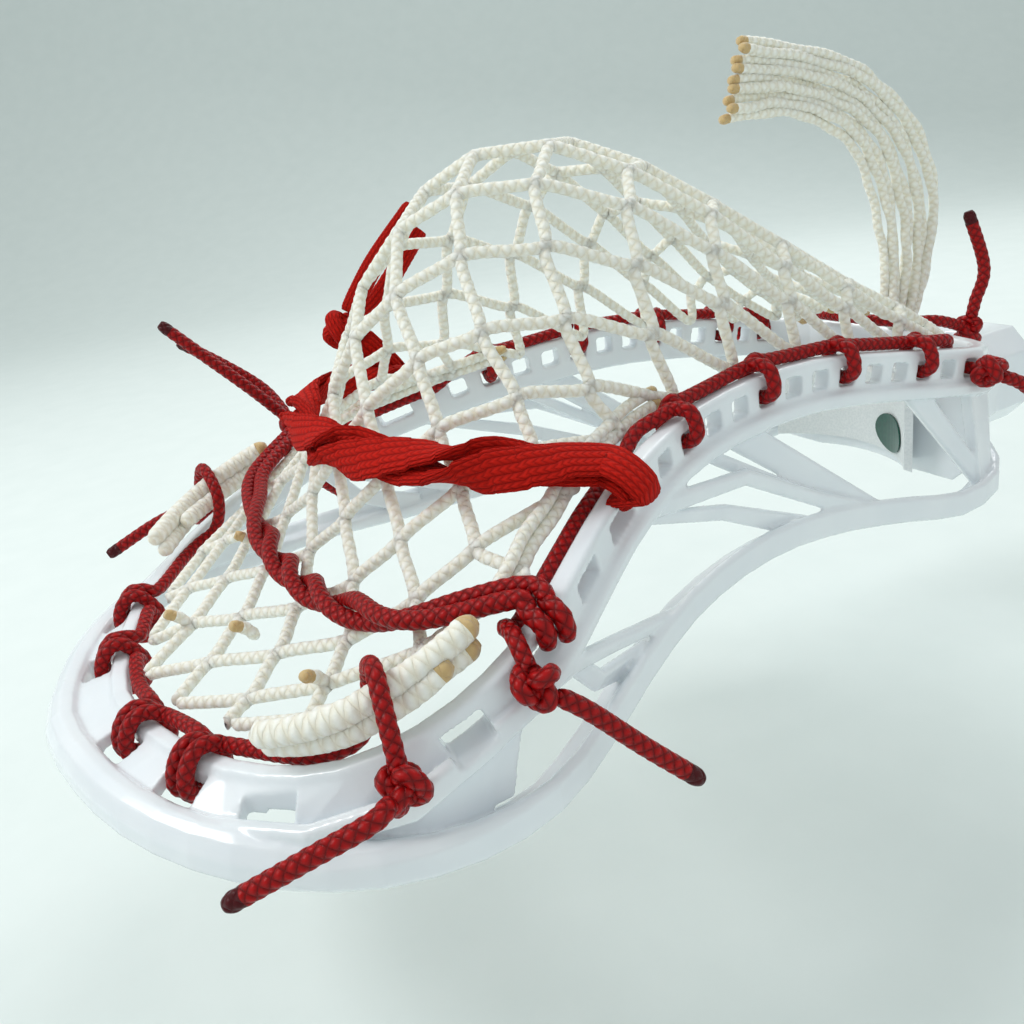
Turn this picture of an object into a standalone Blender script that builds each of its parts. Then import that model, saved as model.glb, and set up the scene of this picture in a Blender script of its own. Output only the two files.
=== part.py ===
"""Strung lacrosse head: one nylon frame, a diamond mesh pocket, and the strings that hold it.

The head lies on its open face with the pocket upwards. X is across the head, +Y runs from
the scoop to the shaft socket, and +Z is up. The origin is under the middle of its outline.
Sizes are in millimetres and become metres where meshes are made.
"""

import math

import bmesh
import bpy
from mathutils import Matrix, Vector

MM = 0.001
SHARP_ANGLE = math.radians(40)

# Driving sizes
HEAD_WIDTH = 174.0           # across the face rim at its widest
THROAT_Y = 276.0             # scoop tip to the back of the throat arch
NECK_LONG = 36.0             # throat arch to the end of the socket
RAIL_THICK = 5.0             # string rail, from its outer to its inner face
RAIL_HEIGHT = 13.0
STRING_DIA = 3.4             # sidewall and top strings
NYLON_DIA = 3.8              # round shooting string
MESH_CORD = 2.6
TAIL_DIA = 3.6
LACE_WIDTH = 9.5
LACE_THICK = 1.8
GAP = 0.3                    # clearance between pieces that touch

# Socket for the shaft
SHAFT_WIDE = 28.0            # shaft section, across X
SHAFT_HIGH = 24.5            # shaft section, along Z
SHAFT_FIT = 0.4              # clearance on each side of the shaft
SOCKET_WALL = 3.2
SOCKET_DEPTH = 46.0
SOCKET_Z = 19.5
SCREW_DIA = 4.2

# Throat and ball stop
BALL_STOP_R = 40.0
THROAT_DEEP = 20.0           # back of the throat arch to the wall behind the ball
PAD_THICK = 2.4
PAD_LOW = 7.5
PAD_HIGH = 33.5
LABEL_Z = 15.5
LABEL_TURN = math.radians(24)
LABEL_HALF = (8.5, 6.0)
LABEL_THICK = 0.4

# String holes in the rails
SLOT_LONG = STRING_DIA + 2.0
SLOT_HIGH = STRING_DIA + 1.6
SLOT_DROP = RAIL_HEIGHT - 7.6  # rail top to the middle of the holes
FIRST_SLOT = 0.495           # as a share of THROAT_Y
LAST_SLOT = 0.9
WIDE_SLOTS = ((0.254, 9.0), (0.322, 9.5), (0.377, 9.0), (0.429, 11.0))
SCOOP_HOLES = (0.253, 0.563, 0.805)  # as shares of half the width
SCOOP_HOLE_WIDE = 11.5
LIP_WIDE = 8.0               # solid lip in front of the scoop holes

# Pocket net
CELLS_ACROSS = 6
CELLS_ALONG = 11
NET_START = 3.0              # rail station of the row behind the scoop
NET_END = 17.0               # rail station of the row at the throat
RUN_INWARD = 4.2             # strings along the rail, inward of its outer face
RUN_UP = STRING_DIA / 2 + GAP
INNER_RUN = 7.3              # where the string runs inside the rail, clear of the shooters
NET_INWARD = 10.8            # edge of the net, inward of the rail's outer face
LOOP_SLOTS = (1, 4, 7, 10)   # rail slots, counted from the first, that hold a loop
END_SLOT = 12
FOLD_DIA = 8.8
FOLD_ROOM = 4.0              # how far the folded corners draw the net in
KNOT_R = 4.6
BIG_KNOT_R = 5.2
LACE_KNOT_R = 6.0
LACE_TAIL_DIA = 5.0          # a loose lace end, rolled edge to edge

# Middle line of the bag, one point for each rail station from NET_START to NET_END:
# distance from the scoop tip as a share of THROAT_Y, and height
NET_MIDDLE = (
    (0.092, 16), (0.13, 18.5), (0.167, 21), (0.199, 24), (0.232, 29), (0.264, 40), (0.293, 57),
    (0.326, 80), (0.38, 101), (0.46, 115), (0.551, 115), (0.652, 101.5), (0.757, 81.5), (0.859, 62),
    (0.92, 51.5),
)

# Mesh tail that stands up behind the bag: its outer and inner edges, from the throat's back
TAIL_OUTER = (
    (-4.5, 42.6), (3, 50), (9.5, 64), (12, 80), (7, 95), (-2, 108), (-14, 117.5), (-27, 124),
    (-46, 130), (-66, 134),
)
TAIL_INNER = (
    (-7.5, 42.6), (-12, 50), (-13.5, 63), (-16, 76), (-20, 88.5), (-26, 98.5), (-34.5, 106),
    (-45, 110.5), (-59, 113), (-74, 113),
)
TAIL_ROOT = (0, THROAT_Y - 6, 46)

HEAD_LENGTH = THROAT_Y + NECK_LONG
ORIGIN_Y = HEAD_LENGTH / 2
BALL_STOP_Y = THROAT_Y - THROAT_DEEP

# Rim and rail outlines of the right half, scoop to throat, in matching stations: across as
# a share of half of HEAD_WIDTH, back from the scoop tip as a share of THROAT_Y, and height.
# Heights of the face rim are its underside, heights of the string rail are its top.
FACE_RIM = (
    (0, 0, 5), (0.253, 0.0127, 4.5), (0.483, 0.0362, 4), (0.69, 0.0725, 3.2), (0.851, 0.1196, 2),
    (0.96, 0.1775, 0.8), (1, 0.2428, 0), (0.989, 0.3043, 1.6), (0.908, 0.3623, 4.2),
    (0.787, 0.4275, 7), (0.678, 0.5, 10.3), (0.613, 0.5725, 12.4), (0.58, 0.6449, 12.4),
    (0.568, 0.721, 9.6), (0.566, 0.7971, 5), (0.566, 0.8732, 0.1), (0.54, 0.9348, 1.6),
    (0.414, 0.9746, 5), (0.218, 0.9964, 8), (0, 1, 9),
)
STRING_RAIL = (
    (0, 0.0562, 14), (0.23, 0.0678, 14.8), (0.483, 0.0942, 16), (0.684, 0.1304, 17.8),
    (0.828, 0.1739, 20.6), (0.902, 0.2246, 25.2), (0.929, 0.2772, 31.2), (0.902, 0.3297, 38),
    (0.814, 0.3804, 44), (0.713, 0.433, 49.2), (0.626, 0.4891, 53.4), (0.557, 0.5507, 56.2),
    (0.52, 0.6232, 57.6), (0.503, 0.6957, 56.8), (0.501, 0.7681, 53.6), (0.503, 0.8478, 49.2),
    (0.494, 0.9203, 45.4), (0.391, 0.9638, 43.4), (0.207, 0.9841, 42.5), (0, 0.9891, 42.2),
)
LAST = len(FACE_RIM) - 1

# Half sections, as (inward, up) from the outline for the rim and (inward, down) for the rail
RIM_AT_SCOOP = (
    (1.5, 0), (7.6, 0), (8.4, 1), (8.8, 4), (8.3, 7), (6.8, 8.8), (4.4, 9.4), (2.2, 8.4), (0.4, 5.6),
    (0, 2),
)
RIM_AT_SIDE = (
    (0.8, 0), (7.2, 0), (8, 0.8), (8, 2.8), (7.4, 3.6), (3.2, 4.2), (2.4, 7), (1.2, 7.6),
    (0, 6.8), (0, 0.8),
)
RAIL_AT_SCOOP = (
    (0.6, 0), (3.6, 0), (4.2, 0.8), (4.2, 3.2), (3.6, 4), (2.4, 4), (0.8, 4), (0, 3.4),
    (0, 2.6), (0, 1.8), (0, 0.8),
)
RAIL_AT_SIDE = (
    (0.8, 0), (RAIL_THICK - 0.8, 0), (RAIL_THICK, 0.9), (RAIL_THICK, RAIL_HEIGHT - 0.8),
    (RAIL_THICK - 0.6, RAIL_HEIGHT), (-1.4, RAIL_HEIGHT), (-2.2, RAIL_HEIGHT - 0.8),
    (-2.2, RAIL_HEIGHT - 3.0), (-1.4, RAIL_HEIGHT - 3.8), (0, RAIL_HEIGHT - 4.4), (0, 0.9),
)


def clear_scene():
    for item in list(bpy.data.objects):
        bpy.data.objects.remove(item, do_unlink=True)


def new_collection(name):
    group = bpy.data.collections.new(name)
    bpy.context.scene.collection.children.link(group)
    return group


def material(name, colour, roughness, metallic=0.0):
    made = bpy.data.materials.new(name)
    made.use_nodes = True
    shader = made.node_tree.nodes["Principled BSDF"]
    shader.inputs["Base Color"].default_value = (*colour, 1.0)
    shader.inputs["Roughness"].default_value = roughness
    shader.inputs["Metallic"].default_value = metallic
    return made


def place(item, group, look=None):
    """Links an object into a collection and gives it its material."""
    group.objects.link(item)
    if look is not None:
        item.data.materials.append(look)
    return item


def hide_tool(item):
    item.hide_render = True
    item.display_type = "WIRE"
    return item


def to_world(point):
    """Head coordinates in millimetres, from the scoop tip, to metres about the origin."""
    return Vector((point[0] * MM, (point[1] - ORIGIN_Y) * MM, point[2] * MM))


def hermite(points, t):
    """The smooth curve through evenly numbered points at station t."""
    last = len(points) - 1
    i = min(max(int(math.floor(t)), 0), last - 1)
    f = t - i
    here, after = Vector(points[i]), Vector(points[i + 1])
    before = Vector(points[i - 1]) if i > 0 else here * 2 - after
    beyond = Vector(points[i + 2]) if i + 2 <= last else after * 2 - here
    leave, arrive = (after - before) / 2, (beyond - here) / 2
    f2, f3 = f * f, f * f * f
    return (here * (2 * f3 - 3 * f2 + 1) + leave * (f3 - 2 * f2 + f)
            + after * (3 * f2 - 2 * f3) + arrive * (f3 - f2))


def both_sides(half):
    """The full loop of a half outline that starts and ends on the plane of symmetry."""
    right = [(x * HEAD_WIDTH / 2, y * THROAT_Y, z) for x, y, z in half]
    left = [(-x, y, z) for x, y, z in right[1:]]
    return list(reversed(left)) + right


def outline(half, t):
    """Point, direction and outward side of a rim at station t, negative on the left."""
    loop = both_sides(half)
    here = hermite(loop, t + LAST)
    step = 0.02
    ahead = hermite(loop, min(t + step, LAST) + LAST) - hermite(loop, max(t - step, -LAST) + LAST)
    along = ahead.normalized()
    outward = Vector((along.y, -along.x, 0)).normalized()
    return here, along, outward


def station_at(half, y):
    """Station on the right half where the outline reaches y, behind its widest part."""
    low, high = 4.0, float(LAST - 2)
    for _ in range(40):
        middle = (low + high) / 2
        if hermite(half, middle).y < y / THROAT_Y:
            low = middle
        else:
            high = middle
    return low


def slot_station(number):
    share = FIRST_SLOT + (LAST_SLOT - FIRST_SLOT) * number / END_SLOT
    return station_at(STRING_RAIL, share * THROAT_Y)


def ease(value, start, end):
    f = min(max((value - start) / (end - start), 0.0), 1.0)
    return f * f * (3 - 2 * f)


def mix_sections(first, second, f):
    return [(a[0] + (b[0] - a[0]) * f, a[1] + (b[1] - a[1]) * f) for a, b in zip(first, second)]


def loft(name, rings, ring_is_loop=False):
    """A closed skin over sections with the same number of points."""
    bm = bmesh.new()
    rows = [[bm.verts.new(to_world(p)) for p in ring] for ring in rings]
    count = len(rows[0])
    spans = list(zip(rows, rows[1:] + rows[:1])) if ring_is_loop else list(zip(rows, rows[1:]))
    for first, second in spans:
        for k in range(count):
            n = (k + 1) % count
            bm.faces.new((first[k], first[n], second[n], second[k]))
    if not ring_is_loop:
        bm.faces.new(rows[0])
        bm.faces.new(rows[-1])
    bmesh.ops.recalc_face_normals(bm, faces=bm.faces)
    mesh = bpy.data.meshes.new(name)
    bm.to_mesh(mesh)
    bm.free()
    mesh.shade_smooth()
    mesh.set_sharp_from_angle(angle=SHARP_ANGLE)
    return bpy.data.objects.new(name, mesh)


def stations(per_gap):
    """Stations right round a loop, without repeating the point on the symmetry plane."""
    total = 2 * LAST * per_gap
    return [-LAST + i / per_gap for i in range(total)]


def face_rim():
    rings = []
    for t in stations(2):
        here, _, outward = outline(FACE_RIM, t)
        section = mix_sections(RIM_AT_SCOOP, RIM_AT_SIDE, ease(abs(t), 3.5, 7.5))
        rings.append([here - outward * i + Vector((0, 0, h)) for i, h in section])
    return loft("face_rim", rings, True)


def string_rail():
    rings = []
    for t in stations(2):
        here, _, outward = outline(STRING_RAIL, t)
        section = mix_sections(RAIL_AT_SCOOP, RAIL_AT_SIDE, ease(abs(t), 3.0, 6.5))
        rings.append([here - outward * i - Vector((0, 0, d)) for i, d in section])
    return loft("string_rail", rings, True)


def band(name, first, last, inset, thick, rim_up, rail_down):
    """Wall from the face rim up to the string rail, between two stations of one side."""
    rings = []
    count = int(abs(last - first) * 2) + 1
    for n in range(count):
        t = first + (last - first) * n / (count - 1)
        low, _, out_low = outline(FACE_RIM, t)
        high, _, out_high = outline(STRING_RAIL, t)
        low = low - out_low * inset + Vector((0, 0, rim_up))
        high = high - out_high * 1.4 - Vector((0, 0, rail_down))
        rise = (high - low).normalized()
        face = rise.cross(outline(FACE_RIM, t)[1]).normalized() * thick / 2
        rings.append([low - face, low + face, high + face, high - face])
    return loft(name, rings)


def blade(name, points, wide, thick, facing):
    """A flat strut along a few points: wide in its own plane, thick along facing."""
    rings = []
    for n, point in enumerate(points):
        ahead = Vector(points[min(n + 1, len(points) - 1)]) - Vector(points[max(n - 1, 0)])
        across = ahead.normalized().cross(facing).normalized()
        normal = across.cross(ahead.normalized()).normalized()
        half_w, half_t = wide[n] / 2, thick / 2
        trim = min(half_w, half_t) * 0.45
        corners = ((half_w - trim, half_t), (-half_w + trim, half_t), (-half_w, half_t - trim),
                   (-half_w, -half_t + trim), (-half_w + trim, -half_t), (half_w - trim, -half_t),
                   (half_w, -half_t + trim), (half_w, half_t - trim))
        rings.append([Vector(point) + across * a + normal * b for a, b in corners])
    return loft(name, rings)


def on_rim(t, side, inward, up):
    here, _, outward = outline(FACE_RIM, t)
    p = here - outward * inward + Vector((0, 0, up))
    return Vector((p.x * side, p.y, p.z))


def on_rail(t, side, inward, down):
    here, _, outward = outline(STRING_RAIL, t)
    p = here - outward * inward - Vector((0, 0, down))
    return Vector((p.x * side, p.y, p.z))


def struts(side):
    """The ribs that hold the string rail over the face rim on one side."""
    facing = Vector((side, -0.25, 0))
    low = RAIL_HEIGHT - 1.6
    made = [
        blade("rise_rib", [on_rim(3.0, side, 6, 7), on_rim(4.3, side, 4.5, 9.5),
                           on_rim(5.4, side, 3.5, 14.5), on_rim(6.3, side, 4, 21),
                           on_rail(7.1, side, -0.4, low)],
              (3, 5, 5.5, 5, 4.5), 3.2, facing),
        blade("front_rib", [on_rail(6.4, side, -0.6, 9.5), on_rail(7.3, side, -0.8, 14),
                            on_rim(8.6, side, 3.5, 15.5), on_rim(9.8, side, 3, 4)],
              (3, 3.4, 3.4, 3.6), 3.0, facing),
        blade("front_blade", [on_rail(7.2, side, 2.2, low), on_rim(8.3, side, 5, 11),
                              on_rim(9.2, side, 4.5, 3)], (4, 5, 7), 2.4, facing),
        blade("long_rib", [on_rail(9.6, side, 0.5, low), on_rim(11.2, side, 2.6, 24),
                           on_rim(12.4, side, 2.6, 11), on_rim(13.5, side, 3, 3)],
              (4.5, 4, 4, 6), 3.0, facing),
        blade("under_rib", [on_rail(9.4, side, 3, low), on_rim(10.9, side, 4.6, 17),
                            on_rim(12.3, side, 4.5, 3)], (3, 4, 6), 2.2, facing),
        blade("thin_brace", [on_rail(11.0, side, 2, low), on_rim(12.2, side, 3.2, 13)],
              (3.2, 3.6), 2.6, facing),
        blade("wide_brace", [on_rail(11.6, side, 2, low), on_rim(13.5, side, 4, 3)],
              (8, 6.5), 3.2, facing),
        blade("rear_brace", [on_rail(14.7, side, 2, low), on_rim(15.9, side, 4, 3)],
              (6.5, 5), 3.2, facing),
    ]
    return made


def octagon(wide, high, cut, y):
    a, b = wide / 2, high / 2
    flat = ((a, b - cut), (a - cut, b), (cut - a, b), (-a, b - cut),
            (-a, cut - b), (cut - a, -b), (a - cut, -b), (a, cut - b))
    return [Vector((x, y, SOCKET_Z + z)) for x, z in flat]


def socket_outer():
    wide = SHAFT_WIDE + 2 * (SHAFT_FIT + SOCKET_WALL)
    high = SHAFT_HIGH + 2 * (SHAFT_FIT + SOCKET_WALL)
    return wide, high


def neck():
    """The tapering shoulder from the throat arch down to the octagonal socket."""
    wide, high = socket_outer()
    front = BALL_STOP_Y - 4
    rings = [
        octagon(84, high - 1, 6, front),
        octagon(76, high - 1, 7, THROAT_Y - 12),
        octagon(60, high, 7, THROAT_Y - 2),
        octagon(wide + 6, high, 7, THROAT_Y + 9),
        octagon(wide, high, 7, THROAT_Y + 20),
        octagon(wide, high, 7, HEAD_LENGTH),
    ]
    return loft("neck", rings)


def ball_space():
    """The round space in front of the ball stop, cut from the throat."""
    bm = bmesh.new()
    bmesh.ops.create_cone(bm, cap_ends=True, segments=72, radius1=BALL_STOP_R * MM,
                          radius2=BALL_STOP_R * MM, depth=0.12)
    mesh = bpy.data.meshes.new("ball_space")
    bm.to_mesh(mesh)
    bm.free()
    item = bpy.data.objects.new("ball_space", mesh)
    item.location = to_world((0, BALL_STOP_Y - BALL_STOP_R, 30))
    return item


def socket_bore():
    wide = SHAFT_WIDE + 2 * SHAFT_FIT
    high = SHAFT_HIGH + 2 * SHAFT_FIT
    start = HEAD_LENGTH - SOCKET_DEPTH
    return loft("socket_bore", [octagon(wide, high, 6.5, start),
                                octagon(wide, high, 6.5, HEAD_LENGTH + 5)])


def box_cutter(name, centre, along, outward, size):
    """A box of (length along the rail, depth through it, height) turned to the rail."""
    bm = bmesh.new()
    bmesh.ops.create_cube(bm, size=MM)
    mesh = bpy.data.meshes.new(name)
    bm.to_mesh(mesh)
    bm.free()
    item = bpy.data.objects.new(name, mesh)
    up = outward.cross(along).normalized()
    turn = Matrix((along, outward, up)).transposed().to_4x4()
    item.matrix_world = (Matrix.Translation(to_world(centre)) @ turn
                         @ Matrix.Diagonal((*size, 1.0)))
    return item


def rail_slots():
    """Rectangular string holes through both rails."""
    holes = [(station_at(STRING_RAIL, share * THROAT_Y), long) for share, long in WIDE_SLOTS]
    holes.extend((slot_station(number), SLOT_LONG) for number in range(END_SLOT + 1))
    made = []
    for t, length in holes:
        for side in (1, -1):
            here, along, outward = outline(STRING_RAIL, t * side)
            centre = here - outward * RAIL_THICK / 2 - Vector((0, 0, SLOT_DROP))
            made.append(box_cutter("slot", centre, along, outward,
                                   (length, RAIL_THICK * 3, SLOT_HIGH)))
    return made


def scoop_hole_spot(share, side):
    """Middle of a hole behind the scoop lip, with its directions and its depth."""
    t = next(n / 50 for n in range(50 * LAST) if hermite(FACE_RIM, n / 50).x >= share)
    low, along, outward = outline(FACE_RIM, t * side)
    high = outline(STRING_RAIL, t * side)[0]
    edge = low - outward * LIP_WIDE
    depth = (high - edge).dot(-outward) - 0.4
    return edge - outward * depth / 2 + Vector((0, 0, 6)), along, outward, depth


def scoop_holes():
    """Holes behind the scoop lip that the top string loops through."""
    made = []
    for share in SCOOP_HOLES:
        for side in (1, -1):
            centre, along, outward, depth = scoop_hole_spot(share, side)
            made.append(box_cutter("scoop_hole", centre, along, outward,
                                   (SCOOP_HOLE_WIDE, depth, 30)))
    return made


def screw_hole():
    bm = bmesh.new()
    bmesh.ops.create_cone(bm, cap_ends=True, segments=48, radius1=SCREW_DIA / 2 * MM,
                          radius2=SCREW_DIA / 2 * MM, depth=0.02)
    mesh = bpy.data.meshes.new("screw_hole")
    bm.to_mesh(mesh)
    bm.free()
    item = bpy.data.objects.new("screw_hole", mesh)
    item.location = to_world((0, HEAD_LENGTH - 18, SOCKET_Z + socket_outer()[1] / 2))
    return item


def boolean(item, group, operation):
    cut = item.modifiers.new(operation.lower(), "BOOLEAN")
    cut.operand_type = "COLLECTION"
    cut.collection = group
    cut.operation = operation
    cut.solver = "EXACT"


def head_frame(parts, look):
    joined = new_collection("frame_pieces")
    cut = new_collection("frame_cutters")
    frame = place(face_rim(), parts, look)
    frame.name = "head_frame"
    pieces = [string_rail(), neck(), band("scoop_wall", -6.6, 6.6, 7.5, 3.2, 5.5, 2.4)]
    for side in (1, -1):
        pieces.append(band("throat_wall", 15.6 * side, 17.4 * side, 4, 3.6, 3, 9))
        pieces.extend(struts(side))
    for piece in pieces:
        hide_tool(place(piece, joined))
    for tool in [ball_space(), socket_bore(), screw_hole(), *rail_slots(), *scoop_holes()]:
        hide_tool(place(tool, cut))
    boolean(frame, joined, "UNION")
    boolean(frame, cut, "DIFFERENCE")
    return frame


def smooth_route(points, step):
    """Points along the smooth curve through a route, about a step apart."""
    route = []
    for i in range(len(points) - 1):
        reach = (Vector(points[i + 1]) - Vector(points[i])).length
        pieces = max(1, round(reach / step))
        route.extend(hermite(points, i + k / pieces) for k in range(pieces))
    route.append(Vector(points[-1]))
    return route


def tube(name, points, dia, parts, look):
    """A cord along a route, as a curve with round section and filled caps."""
    route = [to_world(p) for p in smooth_route(points, 2.5 * dia)]
    curve = bpy.data.curves.new(name, "CURVE")
    curve.dimensions = "3D"
    curve.bevel_depth = dia / 2 * MM
    curve.bevel_resolution = 2
    curve.use_fill_caps = True
    spline = curve.splines.new("POLY")
    spline.points.add(len(route) - 1)
    for spot, p in zip(spline.points, route):
        spot.co = (*p, 1.0)
        spot.radius = 1.0
    return place(bpy.data.objects.new(name, curve), parts, look)


def knot(name, centre, parts, look, radius=KNOT_R):
    bm = bmesh.new()
    bmesh.ops.create_uvsphere(bm, u_segments=10, v_segments=7, radius=radius * MM)
    mesh = bpy.data.meshes.new(name)
    bm.to_mesh(mesh)
    bm.free()
    mesh.shade_smooth()
    item = place(bpy.data.objects.new(name, mesh), parts, look)
    item.location = to_world(centre)
    return item


def beyond(centre, toward, radius):
    """The point just off a knot's surface, on the line to another point."""
    centre, toward = Vector(centre), Vector(toward)
    return centre + (toward - centre).normalized() * (radius + GAP)


def net_point(station, across):
    """A point of the bag's surface: station along it, across from -1 to 1."""
    side = 1 if across >= 0 else -1
    drawn_in = FOLD_ROOM * (1 - ease(station, 5.4, 7.2))
    edge = on_rail(station, 1, NET_INWARD + drawn_in, -1.0)
    middle = hermite([(0, y * THROAT_Y, z) for y, z in NET_MIDDLE], station - NET_START)
    depth = min(1.0, (middle - Vector((0, edge.y, edge.z))).length / edge.x)
    share = abs(across) + (math.sin(abs(across) * math.pi / 2) - abs(across)) * depth
    lift = math.sqrt(max(0.0, 1 - share * share))
    bag = Vector((edge.x * share * side, edge.y + (middle.y - edge.y) * lift,
                  edge.z + (middle.z - edge.z) * lift))
    inward = 10.1 + (NET_INWARD + FOLD_ROOM - 10.1) * ease(abs(across), 0.45, 1)
    scoop = on_rail(NET_START * abs(across), side, inward, -1.2)
    return scoop + (bag - scoop) * ease(station, NET_START, NET_START + 2)


def net_normal(station, across):
    step = 0.02
    along = net_point(station + step, across) - net_point(station - step, across)
    over = net_point(station, across + step) - net_point(station, across - step)
    normal = over.cross(along).normalized()
    return normal if normal.z > 0 else -normal


def net_rows(count):
    """Stations of the rows, spaced by the mean length along the middle and the edge."""
    fine = [NET_START + (NET_END - NET_START) * k / 200 for k in range(201)]
    total = [0.0]
    for first, second in zip(fine, fine[1:]):
        middle = (net_point(second, 0) - net_point(first, 0)).length
        edge = (net_point(second, 1) - net_point(first, 1)).length
        total.append(total[-1] + middle * 0.6 + edge * 0.4)
    rows = []
    for i in range(count + 1):
        wanted = total[-1] * i / count
        k = min(next((n for n, run in enumerate(total) if run >= wanted - 1e-9), 200), 200)
        rows.append(fine[k])
    return rows


def mesh_pocket(parts, look):
    """The diamond net: cords along the edges of a surface of diamonds."""
    bm = bmesh.new()
    rows, columns = 2 * CELLS_ALONG, 2 * CELLS_ACROSS
    row_stations = net_rows(rows)
    spots = {}
    for i in range(rows + 1):
        for j in range(columns + 1):
            if (i + j) % 2 == 0:
                spot = net_point(row_stations[i], j / CELLS_ACROSS - 1)
                spots[i, j] = bm.verts.new(to_world(spot))
    for i in range(rows + 1):
        for j in range(columns + 1):
            if (i + j) % 2 == 1:
                ring = [spots.get(key) for key in ((i - 1, j), (i, j + 1), (i + 1, j), (i, j - 1))]
                ring = [vert for vert in ring if vert is not None]
                if len(ring) >= 3:
                    bm.faces.new(ring)
    bmesh.ops.recalc_face_normals(bm, faces=bm.faces)
    mesh = bpy.data.meshes.new("mesh_pocket")
    bm.to_mesh(mesh)
    bm.free()
    net = place(bpy.data.objects.new("mesh_pocket", mesh), parts, look)
    cords = net.modifiers.new("cords", "WIREFRAME")
    cords.thickness = MESH_CORD * MM
    cords.use_even_offset = False
    cords.use_boundary = True
    return net


def mesh_fold(side, parts, look):
    """The doubled corner of the net, rolled against the rail behind the scoop."""
    route = [on_rail(3.2, side, 3.5, -7.2), on_rail(4.2, side, 4, -7.2),
             on_rail(5.2, side, 4.6, -7.2), on_rail(6.0, side, 6.4, -6.6)]
    name = "mesh_fold_right" if side > 0 else "mesh_fold_left"
    return tube(name, route, FOLD_DIA, parts, look)


def mesh_tail(parts, look):
    """The spare end of the net, drawn together at the throat and curling over the bag."""
    rings = []
    last = len(TAIL_OUTER) - 1
    for n in range(2 * last + 1):
        outer = hermite([(0, y + THROAT_Y, z) for y, z in TAIL_OUTER], n / 2)
        inner = hermite([(0, y + THROAT_Y, z) for y, z in TAIL_INNER], n / 2)
        half = 5.5 - 2.5 * ease(n / 2, 0, 3)
        soft = (outer - inner) * 0.08
        rings.append([outer + Vector((half * 0.6, 0, 0)), outer - soft + Vector((half, 0, 0)),
                      inner + soft + Vector((half, 0, 0)), inner + Vector((half * 0.6, 0, 0)),
                      inner - Vector((half * 0.6, 0, 0)), inner + soft - Vector((half, 0, 0)),
                      outer - soft - Vector((half, 0, 0)), outer - Vector((half * 0.6, 0, 0))])
    tail = place(loft("mesh_tail", rings), parts, look)
    root = bpy.data.objects.new("mesh_tail_hinge", None)
    parts.objects.link(root)
    root.location = to_world(TAIL_ROOT)
    tail.parent = root
    tail.matrix_parent_inverse = Matrix.Translation(-root.location)
    return tail


def per_mm(station):
    """Stations to a millimetre of rail, near a station."""
    return 0.1 / (on_rail(station + 0.1, 1, 0, 0) - on_rail(station, 1, 0, 0)).length


def rail_loop(station, side):
    """One turn of string over the rail, out through a slot and back up inside."""
    mm = per_mm(station)
    out, inside = -(STRING_DIA / 2 + GAP), RAIL_THICK + STRING_DIA / 2 + GAP
    return [
        on_rail(station - 2.2 * mm, side, RUN_INWARD, -RUN_UP),
        on_rail(station - 0.6 * mm, side, 1.2, -RUN_UP - 0.8),
        on_rail(station, side, out - 0.2, -0.8),
        on_rail(station, side, out - 0.5, SLOT_DROP - 2.2),
        on_rail(station, side, 0.4, SLOT_DROP + 0.1),
        on_rail(station + 0.2 * mm, side, RAIL_THICK - 0.4, SLOT_DROP + 0.1),
        on_rail(station + 1.2 * mm, side, inside + 0.5, SLOT_DROP - 2.2),
        on_rail(station + 2.6 * mm, side, inside + 0.2, 0.2),
        on_rail(station + 4.4 * mm, side, inside - 1.2, -RUN_UP - 0.3),
        on_rail(station + 7.0 * mm, side, RUN_INWARD, -RUN_UP),
    ]


def sidewall_string(side, parts, look):
    """The string that laces one edge of the net to its rail, with a knot at each end."""
    word = "right" if side > 0 else "left"
    beside = RAIL_THICK + STRING_DIA / 2 + GAP
    start = on_rail(6.38, side, -KNOT_R - GAP - 0.2, 3.4)
    end = on_rail(slot_station(END_SLOT), side, -KNOT_R - GAP - 0.2, SLOT_DROP)
    route = [beyond(start, on_rail(6.4, side, 0, -3), KNOT_R),
             on_rail(6.42, side, 0.2, -RUN_UP - 0.6), on_rail(6.5, side, 3.4, -RUN_UP - 0.6),
             on_rail(6.6, side, beside - 0.2, 0.7 - STRING_DIA / 2)]
    route.extend(on_rail(t, side, INNER_RUN, 2.0) for t in (6.85, 7.5, 8.1, 8.7, 9.3, 9.7))
    route.append(on_rail(10.1, side, INNER_RUN - 0.2, -1.0))
    for number in LOOP_SLOTS:
        route.extend(rail_loop(slot_station(number), side))
    last = slot_station(END_SLOT)
    mm = per_mm(last)
    route.extend([on_rail(last - 5 * mm, side, RUN_INWARD + 0.6, -RUN_UP),
                  on_rail(last - 2 * mm, side, beside + 0.1, 0),
                  on_rail(last - 0.5 * mm, side, beside - 0.3, SLOT_DROP - 1.2),
                  on_rail(last, side, RAIL_THICK - 1.4, SLOT_DROP),
                  on_rail(last, side, 0.3, SLOT_DROP)])
    tube("sidewall_string_" + word, route, STRING_DIA, parts, look)
    knot("sidewall_top_knot_" + word, start, parts, look)
    knot("sidewall_end_knot_" + word, end, parts, look)
    return start, end


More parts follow.
